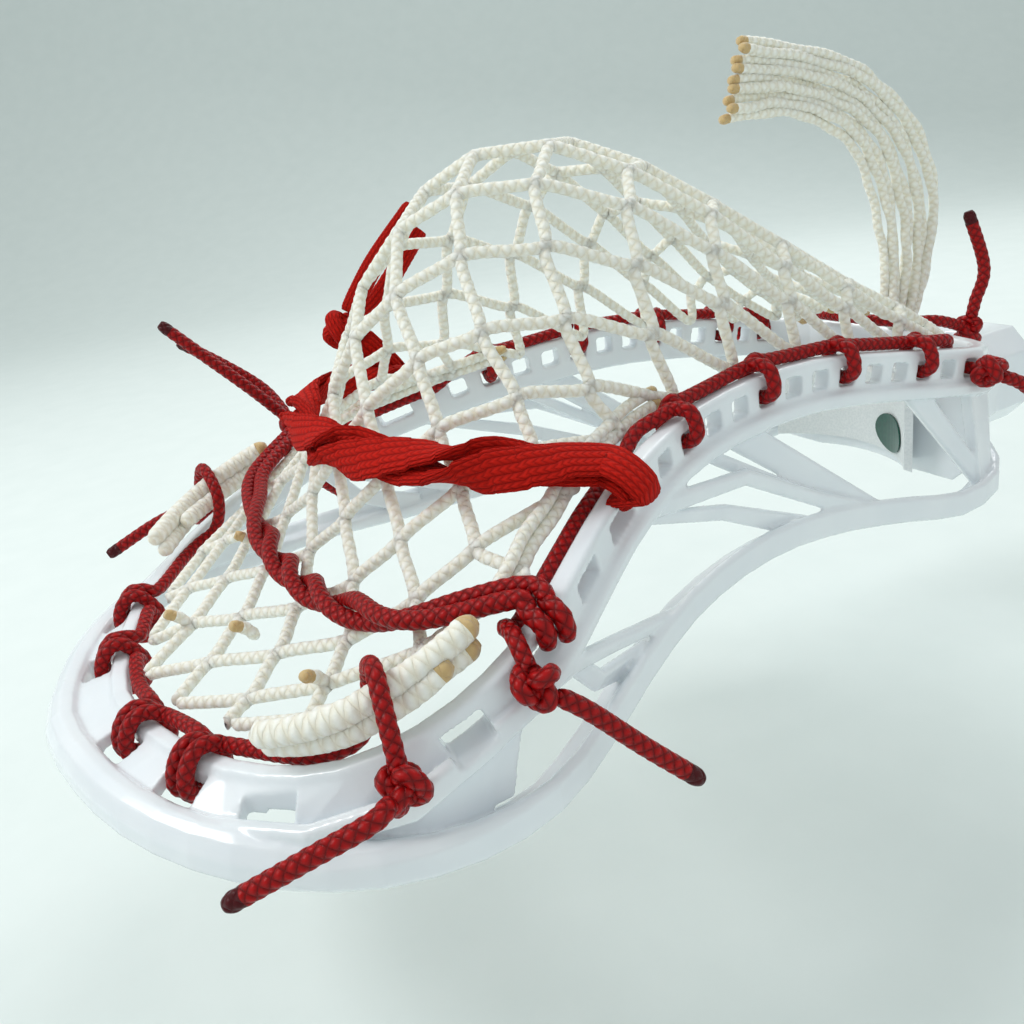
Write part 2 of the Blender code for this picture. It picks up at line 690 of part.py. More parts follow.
def scoop_loop(share, side):
    """One turn of the top string through a scoop hole and round the inner bar."""
    middle = scoop_hole_spot(share, 1)[0]
    spots = [(on_rail(n / 50, 1, 0, 0) - middle).xy.length for n in range(50 * 5)]
    t = spots.index(min(spots)) / 50
    mm = per_mm(t)
    r = STRING_DIA / 2 + GAP
    return [
        on_rail(t + 4.0 * mm, side, 4.2 + r, -0.4),
        on_rail(t + 2.6 * mm, side, 2.8, -r - 0.6),
        on_rail(t + 2.2 * mm, side, -0.6, -r - 0.4),
        on_rail(t + 1.8 * mm, side, -r - 0.7, 1.4),
        on_rail(t + 1.2 * mm, side, -r - 0.7, 6.0),
        on_rail(t + 0.4 * mm, side, 1.4, 4 + r + 3.0),
        on_rail(t - 0.8 * mm, side, 4.2 + r, 6.8),
        on_rail(t - 2.2 * mm, side, 4.2 + r + 0.5, 2.6),
        on_rail(t - 4.4 * mm, side, 4.2 + r + 0.2, -0.4),
    ]


def top_string(parts, look):
    """The string that laces the net to the scoop, looped through its holes."""
    knots = {side: on_rail(4.75, side, -KNOT_R - 4.1, 2.0) for side in (1, -1)}
    half = {}
    for side in (1, -1):
        half[side] = [
            beyond(knots[side], on_rail(4.7, side, -4, -6), KNOT_R),
            on_rail(4.7, side, -3.2, -8.5), on_rail(4.65, side, 2.2, -14.8),
            on_rail(4.55, side, 7.8, -13.9), on_rail(4.45, side, 11.4, -9.0),
            on_rail(4.35, side, 11.0, -3.6), on_rail(4.15, side, 9.4, 0.0),
            on_rail(3.8, side, 7.4, 0.4), on_rail(3.3, side, 6.6, 0.3),
        ]
        for share in (SCOOP_HOLES[1], SCOOP_HOLES[0]):
            half[side].extend(scoop_loop(share, side))
    route = half[1] + [on_rail(0, 1, 6.5, -0.2)] + list(reversed(half[-1]))
    tube("top_string", route, STRING_DIA, parts, look)
    knot("top_string_knot_right", knots[1], parts, look)
    knot("top_string_knot_left", knots[-1], parts, look)
    return knots


def over_net(station, across, lift):
    return net_point(station, across) + net_normal(station, across) * lift


def nylon_shooter(parts, look):
    """The round shooting string: two strands across the bag, knotted outside the left rail."""
    lift = MESH_CORD / 2 + GAP + NYLON_DIA / 2 + 0.5
    wide = NYLON_DIA / 2 + 2 * GAP
    for name, shift in (("nylon_shooter_front", -wide), ("nylon_shooter_back", wide)):
        t = 6.9 + shift * 1.15 * per_mm(6.9)
        r = NYLON_DIA / 2 + GAP
        route = [on_rail(t, 1, -r - 0.1, 3.6), on_rail(t, 1, -r + 0.4, -0.6),
                 on_rail(t, 1, 1.6, -r - 0.6), on_rail(t, 1, 6.0, -r - 2.6)]
        for share in (0.8, 0.55, 0.28, 0, -0.28, -0.55, -0.8):
            ahead = (net_point(7, share) - net_point(6.8, share)).normalized()
            route.append(over_net(6.9, share, lift + 1.2 * abs(share)) + ahead * shift)
        route.extend([on_rail(t, -1, 6.0, -r - 2.6), on_rail(t, -1, 1.6, -r - 0.6),
                      on_rail(t, -1, -0.6, -r - 0.2)])
        tube(name, route, NYLON_DIA, parts, look)
    centre = on_rail(6.9, -1, -6.0, -3.6)
    knot("nylon_shooter_knot", centre, parts, look, BIG_KNOT_R)
    return centre


def lace_shooter(parts, look):
    """The flat shooting lace: doubled over the bag and round the right rail."""
    t = 9.0
    h, w = LACE_THICK, LACE_WIDTH / 2
    r = h + GAP
    lift = MESH_CORD / 2 + GAP + h + 0.5
    along = outline(STRING_RAIL, t)[1]
    lefts = Vector((-along.x, along.y, along.z))
    stops = [(on_rail(t, 1, -r - 0.1, 3.0), along), (on_rail(t, 1, -r + 0.1, 0.2), along),
             (on_rail(t, 1, 1.0, -r - 0.5), along), (on_rail(t, 1, 5.0, -r - 1.6), along)]
    for share in (0.88, 0.7, 0.5, 0.3, 0.1, -0.1, -0.3, -0.5, -0.7, -0.88):
        ahead = (net_point(t + 0.1, share) - net_point(t - 0.1, share)).normalized()
        stops.append((over_net(t, share, lift + 0.8 * abs(share)), ahead))
    rail = on_rail(t, -1, 2.2, -r - 2.6)
    stops.extend([(on_rail(t, -1, 5.6, -r - 1.7), lefts), (rail, lefts),
                  (rail + Vector((1.0, -4.5, 6.5)), lefts), (rail + Vector((1.6, -9.5, 13.0)), lefts)])
    rings = []
    for n in range(2 * len(stops) - 1):
        p = hermite([stop[0] for stop in stops], n / 2)
        onward = hermite([stop[0] for stop in stops], min(n / 2 + 0.1, len(stops) - 1.001)) - p
        back = p - hermite([stop[0] for stop in stops], max(n / 2 - 0.1, 0))
        ahead = (onward + back).normalized()
        flat = hermite([stop[1] for stop in stops], n / 2)
        flat = (flat - ahead * ahead.dot(flat)).normalized()
        normal = ahead.cross(flat).normalized()
        corners = ((w, h * 0.4), (w * 0.8, h), (-w * 0.8, h), (-w, h * 0.4),
                   (-w, -h * 0.4), (-w * 0.8, -h), (w * 0.8, -h), (w, -h * 0.4))
        rings.append([p + flat * a + normal * b for a, b in corners])
    place(loft("lace_shooter", rings), parts, look)
    centre = stops[-1][0] + Vector((0.6, -4.0, 5.4))
    knot("lace_knot", centre, parts, look, LACE_KNOT_R)
    return centre


def bottom_string(parts, look):
    """The string that closes the net at the throat and is knotted on the neck."""
    neck_top = SOCKET_Z + socket_outer()[1] / 2
    back = THROAT_Y
    centre = Vector((15.5, back + 7, neck_top + KNOT_R + GAP + 0.2))
    route = [Vector((-27, back - 14, 46.2)), Vector((-16, back - 16.4, 47.0)),
             Vector((0, back - 17.4, 47.6)), Vector((10, back - 14.5, 47.4)),
             Vector((14.5, back - 6, 46.4)), beyond(centre, (15.5, back + 1, 45), KNOT_R + 0.2)]
    tube("bottom_string", route, STRING_DIA, parts, look)
    knot("bottom_string_knot", centre, parts, look)
    return centre


def free_tail(name, centre, radius, offsets, parts, look, dia=TAIL_DIA):
    """A loose end of cord that leaves its knot; offsets are from the knot's middle."""
    points = [centre + Vector(offset) for offset in offsets]
    start = beyond(centre, points[0], radius + 0.1)
    return tube(name, [start, *points], dia, parts, look)


def ball_stop(parts, foam, print_look):
    """The foam lining of the throat wall and the oval label on it."""
    radius = BALL_STOP_R - GAP
    centre = (0, BALL_STOP_Y - BALL_STOP_R)
    spread = math.radians(46)
    rings = []
    for n in range(17):
        a = -spread + 2 * spread * n / 16
        s, c = math.sin(a), math.cos(a)
        outer, inner = radius, radius - PAD_THICK
        rings.append([Vector((outer * s, centre[1] + outer * c, PAD_LOW)),
                      Vector((outer * s, centre[1] + outer * c, PAD_HIGH)),
                      Vector((inner * s, centre[1] + inner * c, PAD_HIGH - 1)),
                      Vector((inner * s, centre[1] + inner * c, PAD_LOW + 1))])
    place(loft("ball_stop_pad", rings), parts, foam)
    face = radius - PAD_THICK - GAP
    half_wide, half_high = LABEL_HALF
    rings = []
    steps = 12
    for n in range(steps + 1):
        u = -math.cos(math.pi * n / steps) * 0.995
        a = LABEL_TURN + u * half_wide / face
        h = half_high * math.sqrt(1 - u * u)
        s, c = math.sin(a), math.cos(a)
        back, front = face, face - LABEL_THICK
        rings.append([Vector((back * s, centre[1] + back * c, LABEL_Z - h)),
                      Vector((back * s, centre[1] + back * c, LABEL_Z + h)),
                      Vector((front * s, centre[1] + front * c, LABEL_Z + h)),
                      Vector((front * s, centre[1] + front * c, LABEL_Z - h))])
    place(loft("ball_stop_label", rings), parts, print_look)


def main():
    clear_scene()
    parts = new_collection("lacrosse_head")
    nylon = material("gloss_nylon", (0.86, 0.88, 0.90), 0.25)
    mesh_look = material("mesh_cord", (0.90, 0.86, 0.75), 0.8)
    red = material("red_nylon_cord", (0.42, 0.01, 0.02), 0.5)
    lace_look = material("red_lace", (0.55, 0.02, 0.015), 0.8)
    foam = material("ball_stop_foam", (0.8, 0.82, 0.82), 0.85)
    print_look = material("green_label", (0.01, 0.12, 0.09), 0.4)
    head_frame(parts, nylon)
    ball_stop(parts, foam, print_look)
    mesh_pocket(parts, mesh_look)
    mesh_tail(parts, mesh_look)
    for side in (1, -1):
        mesh_fold(side, parts, mesh_look)
    top = top_string(parts, red)
    right_start, right_end = sidewall_string(1, parts, red)
    left_start, left_end = sidewall_string(-1, parts, red)
    nylon_knot = nylon_shooter(parts, red)
    lace_knot = lace_shooter(parts, lace_look)
    throat_knot = bottom_string(parts, red)
    free_tail("top_tail_right", top[1], KNOT_R,
              [(5.5, -7.5, 0.5), (4, -18.5, -2), (-1.5, -32, -8)], parts, red)
    free_tail("top_tail_left", top[-1], KNOT_R,
              [(-7.5, -3.5, -0.5), (-11.5, -13.5, -3.5), (-10.5, -30, -9)], parts, red)
    free_tail("sidewall_tail_right", right_start, KNOT_R,
              [(4.5, 7.5, -6.5), (8.5, 15.5, -15.5), (12.5, 24.5, -25)], parts, red)
    free_tail("sidewall_tail_left", left_start, KNOT_R,
              [(-7.5, 5.5, -3.5), (-12.5, 13.5, -12.5), (-14.5, 23.5, -23)], parts, red)
    free_tail("throat_tail_right", right_end, KNOT_R,
              [(4, 9.5, -6), (7, 18.5, -16), (8, 28.5, -23)], parts, red)
    free_tail("throat_tail_left", left_end, KNOT_R,
              [(-4, 8.5, -5), (-6, 17.5, -13), (-7, 30, -21)], parts, red)
    free_tail("nylon_tail_front", nylon_knot, BIG_KNOT_R,
              [(-0.5, -11.5, 15), (-4.5, -21.5, 27), (-9.5, -31.5, 39)], parts, red)
    free_tail("nylon_tail_back", nylon_knot, BIG_KNOT_R,
              [(-10.5, -5.5, 12), (-15.5, -15.5, 22), (-19.5, -26.5, 31)], parts, red)
    free_tail("bottom_tail", throat_knot, KNOT_R,
              [(1.5, 1, 9.5), (2.5, 3, 19.5), (-1.5, 0, 36.5)], parts, red)

    free_tail("lace_tail_front", lace_knot, LACE_KNOT_R,
              [(0.5, 7.5, 10), (0, 15, 18), (-0.5, 29, 30)], parts, lace_look, LACE_TAIL_DIA)
    free_tail("lace_tail_back", lace_knot, LACE_KNOT_R,
              [(-5, 12, 4), (-7, 21, 11), (-6, 32, 23)], parts, lace_look, LACE_TAIL_DIA)


main()
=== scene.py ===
"""Strung lacrosse head: gloss nylon frame, braided mesh bag and red lacing, for Blender 4.5."""

import math

import bmesh
import bpy
from mathutils import Matrix, Vector, noise


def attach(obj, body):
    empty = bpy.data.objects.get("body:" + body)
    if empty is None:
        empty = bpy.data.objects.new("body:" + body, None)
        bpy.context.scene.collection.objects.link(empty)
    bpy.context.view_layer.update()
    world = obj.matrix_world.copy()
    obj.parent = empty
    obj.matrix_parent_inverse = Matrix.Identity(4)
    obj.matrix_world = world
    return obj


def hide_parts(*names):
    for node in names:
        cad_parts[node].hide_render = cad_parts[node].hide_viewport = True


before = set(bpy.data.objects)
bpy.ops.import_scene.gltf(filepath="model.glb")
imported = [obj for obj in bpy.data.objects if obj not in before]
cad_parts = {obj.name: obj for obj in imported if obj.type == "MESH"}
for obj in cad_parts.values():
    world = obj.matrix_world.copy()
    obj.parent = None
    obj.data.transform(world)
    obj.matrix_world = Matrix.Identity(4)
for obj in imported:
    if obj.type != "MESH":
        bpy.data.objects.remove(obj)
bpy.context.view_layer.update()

bl_info = {
    "name": "Strung lacrosse head",
    "version": (1, 0, 0),
    "blender": (4, 5, 0),
    "location": "3D View > Sidebar > Lacrosse",
    "description": "Dresses a lacrosse head with its mesh, strings, laces and finishes",
    "category": "Object",
}

MM = 0.001

# Without a seed of its own, noise starts from the clock and the cords wander differently each run
noise.seed_set(1)

# The head's own sizes, in millimetres, as the solid parts have them
HEAD_WIDTH = 174.0
THROAT_Y = 276.0
NECK_LONG = 36.0
RAIL_THICK = 5.0
STRING_DIA = 3.4
NYLON_DIA = 3.8
TAIL_DIA = 3.6
MESH_DIA = 2.8
LACE_THICK = 1.8
GAP = 0.3
SLOT_DROP = 5.4
FIRST_SLOT = 0.495
LAST_SLOT = 0.9
END_SLOT = 12
LOOP_SLOTS = (1, 4, 7, 10)
SCOOP_HOLES = (0.253, 0.563)
LIP_WIDE = 8.0
CELLS_ACROSS = 6
CELLS_ALONG = 11
NET_START = 3.0
NET_END = 17.0
NET_INWARD = 10.8
FOLD_ROOM = 4.0
RUN_INWARD = 4.2
RUN_UP = STRING_DIA / 2 + GAP
INNER_RUN = 7.3
KNOT_R = 4.6
BIG_KNOT_R = 5.2
LACE_KNOT_R = 6.0
LACE_TAIL_DIA = 5.0
SOCKET_TOP = 19.5 + (24.5 + 2 * (0.4 + 3.2)) / 2
ORIGIN_Y = (THROAT_Y + NECK_LONG) / 2

# Strands and millimetres of pitch of each yarn, the same in its shape and in its finish
MESH_PLAIT = (2, 2.7)
CORD_PLAIT = (4, 2.4)
LACE_KNIT = (14, 1.7)

# Middle line of the bag from the scoop to the throat: share of THROAT_Y, and height
NET_MIDDLE = (
    (0.092, 16), (0.13, 18.5), (0.167, 21), (0.199, 24), (0.232, 29), (0.264, 40), (0.293, 57),
    (0.326, 80), (0.38, 101), (0.46, 115), (0.551, 115), (0.652, 101.5), (0.757, 81.5),
    (0.859, 62), (0.92, 51.5),
)
TAIL_OUTER = ((-4.5, 42.6), (3, 50), (9.5, 64), (12, 80), (7, 95), (-2, 108), (-14, 117.5),
              (-27, 124), (-46, 130), (-66, 134))
TAIL_INNER = ((-7.5, 42.6), (-12, 50), (-13.5, 63), (-16, 76), (-20, 88.5), (-26, 98.5),
              (-34.5, 106), (-45, 110.5), (-59, 113), (-74, 113))

# Rim and rail outlines of the right half, scoop to throat, in matching stations: across as
# a share of half of HEAD_WIDTH, back from the scoop tip as a share of THROAT_Y, and height
FACE_RIM = (
    (0, 0, 5), (0.253, 0.0127, 4.5), (0.483, 0.0362, 4), (0.69, 0.0725, 3.2), (0.851, 0.1196, 2),
    (0.96, 0.1775, 0.8), (1, 0.2428, 0), (0.989, 0.3043, 1.6), (0.908, 0.3623, 4.2),
    (0.787, 0.4275, 7), (0.678, 0.5, 10.3), (0.613, 0.5725, 12.4), (0.58, 0.6449, 12.4),
    (0.568, 0.721, 9.6), (0.566, 0.7971, 5), (0.566, 0.8732, 0.1), (0.54, 0.9348, 1.6),
    (0.414, 0.9746, 5), (0.218, 0.9964, 8), (0, 1, 9),
)
STRING_RAIL = (
    (0, 0.0562, 14), (0.23, 0.0678, 14.8), (0.483, 0.0942, 16), (0.684, 0.1304, 17.8),
    (0.828, 0.1739, 20.6), (0.902, 0.2246, 25.2), (0.929, 0.2772, 31.2), (0.902, 0.3297, 38),
    (0.814, 0.3804, 44), (0.713, 0.433, 49.2), (0.626, 0.4891, 53.4), (0.557, 0.5507, 56.2),
    (0.52, 0.6232, 57.6), (0.503, 0.6957, 56.8), (0.501, 0.7681, 53.6), (0.503, 0.8478, 49.2),
    (0.494, 0.9203, 45.4), (0.391, 0.9638, 43.4), (0.207, 0.9841, 42.5), (0, 0.9891, 42.2),
)
LAST = len(FACE_RIM) - 1


def to_world(point):
    """Head coordinates in millimetres, from the scoop tip, to metres about the origin."""
    return Vector((point[0] * MM, (point[1] - ORIGIN_Y) * MM, point[2] * MM))


def hermite(points, t):
    """The smooth curve through evenly numbered points at station t."""
    last = len(points) - 1
    i = min(max(int(math.floor(t)), 0), last - 1)
    f = t - i
    here, after = Vector(points[i]), Vector(points[i + 1])
    before = Vector(points[i - 1]) if i > 0 else here * 2 - after
    beyond = Vector(points[i + 2]) if i + 2 <= last else after * 2 - here
    leave, arrive = (after - before) / 2, (beyond - here) / 2
    f2, f3 = f * f, f * f * f
    return (here * (2 * f3 - 3 * f2 + 1) + leave * (f3 - 2 * f2 + f)
            + after * (3 * f2 - 2 * f3) + arrive * (f3 - f2))


def both_sides(half):
    """The full loop of a half outline that starts and ends on the plane of symmetry."""
    right = [(x * HEAD_WIDTH / 2, y * THROAT_Y, z) for x, y, z in half]
    left = [(-x, y, z) for x, y, z in right[1:]]
    return list(reversed(left)) + right


def outline(half, t):
    """Point, direction and outward side of a rim at station t, negative on the left."""
    loop = both_sides(half)
    here = hermite(loop, t + LAST)
    step = 0.02
    ahead = hermite(loop, min(t + step, LAST) + LAST) - hermite(loop, max(t - step, -LAST) + LAST)
    along = ahead.normalized()
    outward = Vector((along.y, -along.x, 0)).normalized()
    return here, along, outward


def station_at(half, y):
    """Station on the right half where the outline reaches y, behind its widest part."""
    low, high = 4.0, float(LAST - 2)
    for _ in range(40):
        middle = (low + high) / 2
        if hermite(half, middle).y < y / THROAT_Y:
            low = middle
        else:
            high = middle
    return low


def slot_station(number):
    share = FIRST_SLOT + (LAST_SLOT - FIRST_SLOT) * number / END_SLOT
    return station_at(STRING_RAIL, share * THROAT_Y)


def ease(value, start, end):
    f = min(max((value - start) / (end - start), 0.0), 1.0)
    return f * f * (3 - 2 * f)


def on_rail(t, side, inward, down):
    here, _, outward = outline(STRING_RAIL, t)
    p = here - outward * inward - Vector((0, 0, down))
    return Vector((p.x * side, p.y, p.z))


def per_mm(station):
    """Stations to a millimetre of rail, near a station."""
    return 0.1 / (on_rail(station + 0.1, 1, 0, 0) - on_rail(station, 1, 0, 0)).length


def net_point(station, across):
    """A point of the bag's surface: station along it, across from -1 to 1."""
    side = 1 if across >= 0 else -1
    drawn_in = FOLD_ROOM * (1 - ease(station, 5.4, 7.2))
    edge = on_rail(station, 1, NET_INWARD + drawn_in, -1.0)
    middle = hermite([(0, y * THROAT_Y, z) for y, z in NET_MIDDLE], station - NET_START)
    depth = min(1.0, (middle - Vector((0, edge.y, edge.z))).length / edge.x)
    share = abs(across) + (math.sin(abs(across) * math.pi / 2) - abs(across)) * depth
    lift = math.sqrt(max(0.0, 1 - share * share))
    bag = Vector((edge.x * share * side, edge.y + (middle.y - edge.y) * lift,
                  edge.z + (middle.z - edge.z) * lift))
    inward = 10.1 + (NET_INWARD + FOLD_ROOM - 10.1) * ease(abs(across), 0.45, 1)
    scoop = on_rail(NET_START * abs(across), side, inward, -1.2)
    return scoop + (bag - scoop) * ease(station, NET_START, NET_START + 2)


def net_normal(station, across):
    step = 0.02
    along = net_point(station + step, across) - net_point(station - step, across)
    over = net_point(station, across + step) - net_point(station, across - step)
    normal = over.cross(along).normalized()
    return normal if normal.z > 0 else -normal


def net_rows(count):
    """Stations of the rows, spaced by the mean length along the middle and the edge."""
    fine = [NET_START + (NET_END - NET_START) * k / 200 for k in range(201)]
    total = [0.0]
    for first, second in zip(fine, fine[1:]):
        middle = (net_point(second, 0) - net_point(first, 0)).length
        edge = (net_point(second, 1) - net_point(first, 1)).length
        total.append(total[-1] + middle * 0.6 + edge * 0.4)
    rows = []
    for i in range(count + 1):
        wanted = total[-1] * i / count
        k = min(next((n for n, run in enumerate(total) if run >= wanted - 1e-9), 200), 200)
        rows.append(fine[k])
    return rows


def over_net(station, across, lift):
    return net_point(station, across) + net_normal(station, across) * lift


# --- building cords and laces ------------------------------------------------------------

def resample(points, step, closed=False):
    """Points about a step apart on the smooth curve through a route."""
    if closed:
        points = [points[-1], *points, points[0], points[1]]
    route = []
    first, last = (1, len(points) - 2) if closed else (0, len(points) - 1)
    for i in range(first, last):
        reach = (Vector(points[i + 1]) - Vector(points[i])).length
        pieces = max(1, round(reach / step))
        route.extend(hermite(points, i + k / pieces) for k in range(pieces))
    if not closed:
        route.append(Vector(points[-1]))
    return route


def turning_frames(route, start_flat=None):
    """A direction across the cord at each point, turned as little as possible on the way."""
    flats = []
    flat = start_flat or Vector((0, 0, 1))
    for i, point in enumerate(route):
        ahead = route[min(i + 1, len(route) - 1)] - route[max(i - 1, 0)]
        ahead.normalize()
        flat = flat - ahead * ahead.dot(flat)
        if flat.length < 1e-4:
            flat = ahead.orthogonal()
        flat = flat.normalized()
        flats.append(flat.copy())
    return flats


def plait(around, along, strands, pitch):
    """Height from 0 to 1 of a plaited surface: around in turns, along in millimetres."""
    p = strands * around + along / pitch
    q = strands * around - along / pitch
    over_p = (math.floor(p) + math.floor(q)) % 2 == 0
    a, b = math.sin(math.pi * (p % 1)), math.sin(math.pi * (q % 1))
    return a * b ** 0.4 if over_p else b * a ** 0.4


def knit(around, along, columns, pitch):
    """Height from 0 to 1 of a knitted surface, in columns of V-shaped stitches."""
    f = columns * around % 1
    stitch = math.sin(math.pi * ((along / pitch + 1.4 * abs(f - 0.5)) % 1))
    return math.sin(math.pi * f) ** 0.5 * (0.45 + 0.55 * stitch)


def sweep(name, route, half_wide, half_thick, relief=0.0, strands=3, pitch=3.0, sides=12,
          closed=False, flats=None, taper=0.0, melt=0.0, pattern=plait):
    """A cord or lace along a route, with a plaited surface and its ends rounded over.

    melt is the length in millimetres of the sealed tip at the far end.
    """
    flats = flats or turning_frames(route)
    count = len(route)
    run = [0.0]
    for a, b in zip(route, route[1:]):
        run.append(run[-1] + (b - a).length)
    bm = bmesh.new()
    uv = bm.loops.layers.uv.new("cord")
    sealed = bm.verts.layers.float.new("sealed")
    rows = []
    for i, centre in enumerate(route):
        before = route[i - 1] if i or closed else route[0]
        after = route[(i + 1) % count] if i + 1 < count or closed else route[-1]
        ahead = (after - before).normalized()
        flat = flats[i] - ahead * ahead.dot(flats[i])
        flat.normalize()
        normal = ahead.cross(flat)
        size = 1.0
        if not closed:
            edge = min(run[i], run[-1] - run[i]) / max(half_thick, 0.01)
            size = 1.0 - taper * max(0.0, 1.0 - edge) ** 2
        tip = max(0.0, 1.0 - (run[-1] - run[i]) / melt) if melt else 0.0
        ring = []
        for k in range(sides):
            turn = k / sides
            angle = 2 * math.pi * turn
            bump = 1.0 + relief * (pattern(turn, run[i], strands, pitch) - 0.5) * (1.0 - tip)
            spot = (centre + flat * (half_wide * size * bump * math.cos(angle))
                    + normal * (half_thick * size * bump * math.sin(angle)))
            vert = bm.verts.new(to_world(spot))
            vert[sealed] = tip
            ring.append(vert)
        rows.append(ring)
    spans = list(zip(range(count), range(1, count)))
    if closed:
        spans.append((count - 1, 0))
    for i, j in spans:
        top = run[j] if j else run[-1] + (route[0] - route[-1]).length
        for k in range(sides):
            n = (k + 1) % sides
            face = bm.faces.new((rows[i][k], rows[i][n], rows[j][n], rows[j][k]))
            face.smooth = True
            corners = ((k, run[i]), (k + 1, run[i]), (k + 1, top), (k, top))
            for loop, (around, along) in zip(face.loops, corners):
                loop[uv].uv = (around / sides, along * MM)
    if not closed:
        for ring in (rows[0], rows[-1]):
            bm.faces.new(ring).smooth = True
    bmesh.ops.recalc_face_normals(bm, faces=bm.faces)
    mesh = bpy.data.meshes.new(name)
    bm.to_mesh(mesh)
    bm.free()
    return mesh


def piece(name, meshes, look, body, stands_for=()):
    """One named object from one or more meshes, riding on a body of the model."""
    bm = bmesh.new()
    for mesh in meshes:
        bm.from_mesh(mesh)
    whole = bpy.data.meshes.new(name)
    bm.to_mesh(whole)
    bm.free()
    for mesh in meshes:
        bpy.data.meshes.remove(mesh)
    whole.materials.append(look)
    item = bpy.data.objects.new(name, whole)
    bpy.context.scene.collection.objects.link(item)
    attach(item, body)
    if stands_for:
        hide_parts(*stands_for)
    return item


def cord(name, points, dia, sides=20, relief=0.10, **more):
    """A plaited round cord through a few points of its route."""
    route = resample(points, 0.5)
    return sweep(name, route, dia / 2, dia / 2, relief, *CORD_PLAIT, sides, **more)


def overhand_knot(name, centre, radius, dia, lean):
    """A cord drawn up into a tight overhand knot about a point."""
    points = []
    turn = Matrix.Rotation(lean, 3, "Z") @ Matrix.Rotation(lean * 0.7 + 0.6, 3, "X")
    reach = (radius + 0.5 - dia / 2) / 3
    for k in range(30):
        t = 2 * math.pi * k / 30
        loop = Vector((math.sin(t) + 2 * math.sin(2 * t), math.cos(t) - 2 * math.cos(2 * t),
                       -1.9 * math.sin(3 * t)))
        points.append(centre + turn @ (loop * reach))
    route = resample(points, 0.5, closed=True)
    return sweep(name, route, dia / 2, dia / 2, 0.10, *CORD_PLAIT, 20, closed=True)


def beyond(centre, toward, radius):
    """The point just off a knot's surface, on the line to another point."""
    centre, toward = Vector(centre), Vector(toward)
    return centre + (toward - centre).normalized() * (radius + GAP)


# --- finishes ------------------------------------------------------------------------------

def linear(hex_colour):
    """An sRGB hex colour as the four linear values a shader takes."""
    values = [int(hex_colour[i:i + 2], 16) / 255 for i in (1, 3, 5)]
    return (*[v / 12.92 if v <= 0.04045 else ((v + 0.055) / 1.055) ** 2.4 for v in values], 1.0)


def add(tree, kind, settings=None, links=None):
    """A node of any kind, with its settings, and its inputs set to values or linked."""
    made = tree.nodes.new(kind)
    for key, value in (settings or {}).items():
        setattr(made, key, value)
    for key, value in (links or {}).items():
        if isinstance(value, bpy.types.NodeSocket):
            tree.links.new(value, made.inputs[key])
        else:
            made.inputs[key].default_value = value
    return made


def new_finish(name, constants):
    """A material with a Principled shader whose plain values are set on its own sockets."""
    look = bpy.data.materials.new(name)
    look.use_nodes = True
    shader = look.node_tree.nodes["Principled BSDF"]
    for key, value in constants.items():
        shader.inputs[key].default_value = value
    return look, look.node_tree, shader


def calc(tree, operation, *values):
    """The result of one sum on plain numbers or sockets."""
    made = add(tree, "ShaderNodeMath", {"operation": operation}, dict(enumerate(values)))
    return made.outputs[0]


def cord_map(tree):
    """Where a point lies on its cord: turns around it, and metres along it."""
    place = add(tree, "ShaderNodeUVMap", {"uv_map": "cord"})
    parts = add(tree, "ShaderNodeSeparateXYZ", links={0: place.outputs[0]})
    return parts.outputs["X"], parts.outputs["Y"]


def plait_height(tree, strands, pitch_mm):
    """The height of plaited yarn, from the map laid along each cord."""
    around, run = cord_map(tree)
    across = calc(tree, "MULTIPLY", around, float(strands))
    along = calc(tree, "DIVIDE", run, pitch_mm * MM)
    ways = []
    for operation in ("ADD", "SUBTRACT"):
        way = calc(tree, operation, across, along)
        wave = calc(tree, "SINE", calc(tree, "MULTIPLY", calc(tree, "FRACT", way), math.pi))
        ways.append((wave, calc(tree, "POWER", wave, 0.4), calc(tree, "FLOOR", way)))
    (wave_p, soft_p, step_p), (wave_q, soft_q, step_q) = ways
    flip = calc(tree, "PINGPONG", calc(tree, "ADD", step_p, step_q), 1.0)
    over = calc(tree, "MULTIPLY", wave_p, soft_q)
    under = calc(tree, "MULTIPLY", wave_q, soft_p)
    mix = add(tree, "ShaderNodeMix", {"data_type": "FLOAT"}, {0: flip, 2: over, 3: under})
    return mix.outputs[0]


def knit_height(tree, columns, pitch_mm):
    """The height of knitted yarn: columns of V-shaped stitches along a lace."""
    around, run = cord_map(tree)
    part = calc(tree, "FRACT", calc(tree, "MULTIPLY", around, float(columns)))
    fold = calc(tree, "PINGPONG", part, 0.5)
    slant = calc(tree, "MULTIPLY_ADD", fold, -1.4, calc(tree, "DIVIDE", run, pitch_mm * MM))
    rib, stitch = [
        calc(tree, "SINE", calc(tree, "MULTIPLY", calc(tree, "FRACT", value), math.pi))
        for value in (part, slant)]
    stitch = calc(tree, "MULTIPLY_ADD", stitch, 0.55, 0.45)
    return calc(tree, "MULTIPLY", calc(tree, "POWER", rib, 0.5), stitch)


